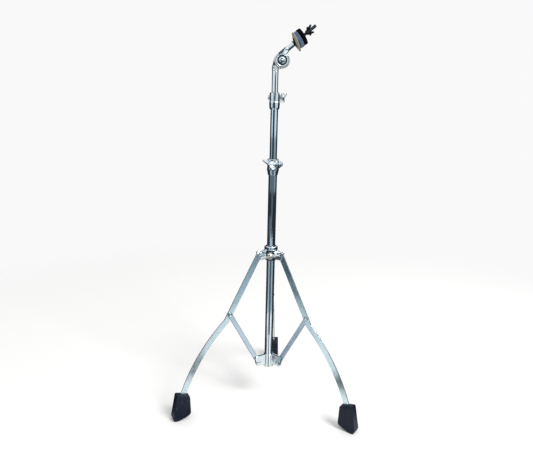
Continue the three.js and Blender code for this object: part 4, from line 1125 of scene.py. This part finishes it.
# Painted reflections: cards that glow in these tones and show only in the metal's reflections
TONES = {"black": 0.03, "dim": 0.13, "grey": 0.19, "half": 0.38, "pale": 0.6, "white": 0.9}
CARD_TINT = (0.8, 0.97, 1.1)
# Azimuths from and to, heights from and to of the standing cards, by tone
WALLS = {
    "black": [(76, 168, 0, 0.86), (-168, -78, 0, 0.86), (24, 76, 0.2, 0.42), (-78, -24, 0.3, 0.42),
              (-38, 15, 0.54, 0.86), (5, 24, 0.2, 0.3), (-9, 32, 0.86, 0.97), (32, 76, 0.115, 0.2),
              (-78, -32, 0.115, 0.2), (-8, 4, 0.115, 0.2), (-170, -92, 0.86, 1.4)],
    "dim": [(-24, 24, 0.3, 0.42), (-28, 28, 0, 0.115), (-78, -50, 0.2, 0.3), (54, 76, 0, 0.115),
            (-78, -54, 0, 0.115), (84, 160, 0.86, 1.25)],
    "grey": [(-78, 44, 0.42, 0.54), (-50, 5, 0.2, 0.3)],
    "half": [(44, 88, 0.42, 0.54), (-78, -38, 0.54, 0.68), (15, 76, 0.54, 0.68)],
    "pale": [(-54, -28, 0, 0.115), (28, 54, 0, 0.115)],
    "white": [(-32, -8, 0.115, 0.2), (4, 32, 0.115, 0.2), (-80, -38, 0.68, 0.86), (15, 62, 0.68, 0.86)],
}
# Azimuths from and to, distances from and to of the cards on the floor, by tone
SHEETS = {
    "black": [(70, 168, 0.25, 1.15), (-168, -70, 0.25, 1.15), (-11, 9, 0.1, 0.45),
              (100, 168, 0.06, 0.25), (-168, -100, 0.06, 0.25)],
    "half": [(-60, -47, 0.2, 0.5)],
    "dim": [(-26, 26, 0.45, 1.15), (56, 70, 0.8, 1.15), (-70, -56, 0.8, 1.15)],
    "pale": [(26, 56, 0.8, 1.15), (-56, -26, 0.8, 1.15), (26, 70, 0.66, 0.8), (-70, -26, 0.66, 0.8)],
}
for name, level in TONES.items():
    material = glowing(name + "_card", [part * level for part in CARD_TINT])
    corners = []
    for card in WALLS.get(name, []):
        corners += wall(*card)
    for card in SHEETS.get(name, []):
        corners += sheet(*card)
    staged(name + "_cards", corners, material)

KEY_PLACE, KEY_TARGET = Vector((2.9, -2.7, 4.3)), Vector((0, 0, 0.3))
KEY_SIZE, KEY_POWER, KEY_TINT = (2.1, 2.0), 202, (1.0, 0.99, 0.97)
# Strengths of the backdrop as it lights the stand, and as the camera and the mirrors see it
LIGHTING, SEEN = 0.685, 0.947

data = bpy.data.lights.new("key", "AREA")
data.shape = "RECTANGLE"
data.size, data.size_y = KEY_SIZE
data.energy = KEY_POWER
data.color = KEY_TINT
lamp = bpy.data.objects.new("key", data)
lamp.location = KEY_PLACE
lamp.rotation_euler = (KEY_TARGET - KEY_PLACE).to_track_quat("-Z", "Y").to_euler()
scene.collection.objects.link(lamp)

world = bpy.data.worlds.new("world")
world.use_nodes = True
tree = world.node_tree
rays = tree.nodes.new("ShaderNodeLightPath").outputs
seen = node(tree, "Math", {0: rays["Is Camera Ray"], 1: rays["Is Glossy Ray"]}, operation="MAXIMUM")
seen = node(tree, "Math", {0: seen, 1: rays["Is Transmission Ray"]}, operation="MAXIMUM")
level = map_range(tree, seen, target=(LIGHTING, SEEN))
wire(tree.nodes["Background"], {"Color": (1, 1, 1, 1), "Strength": level})
scene.world = world
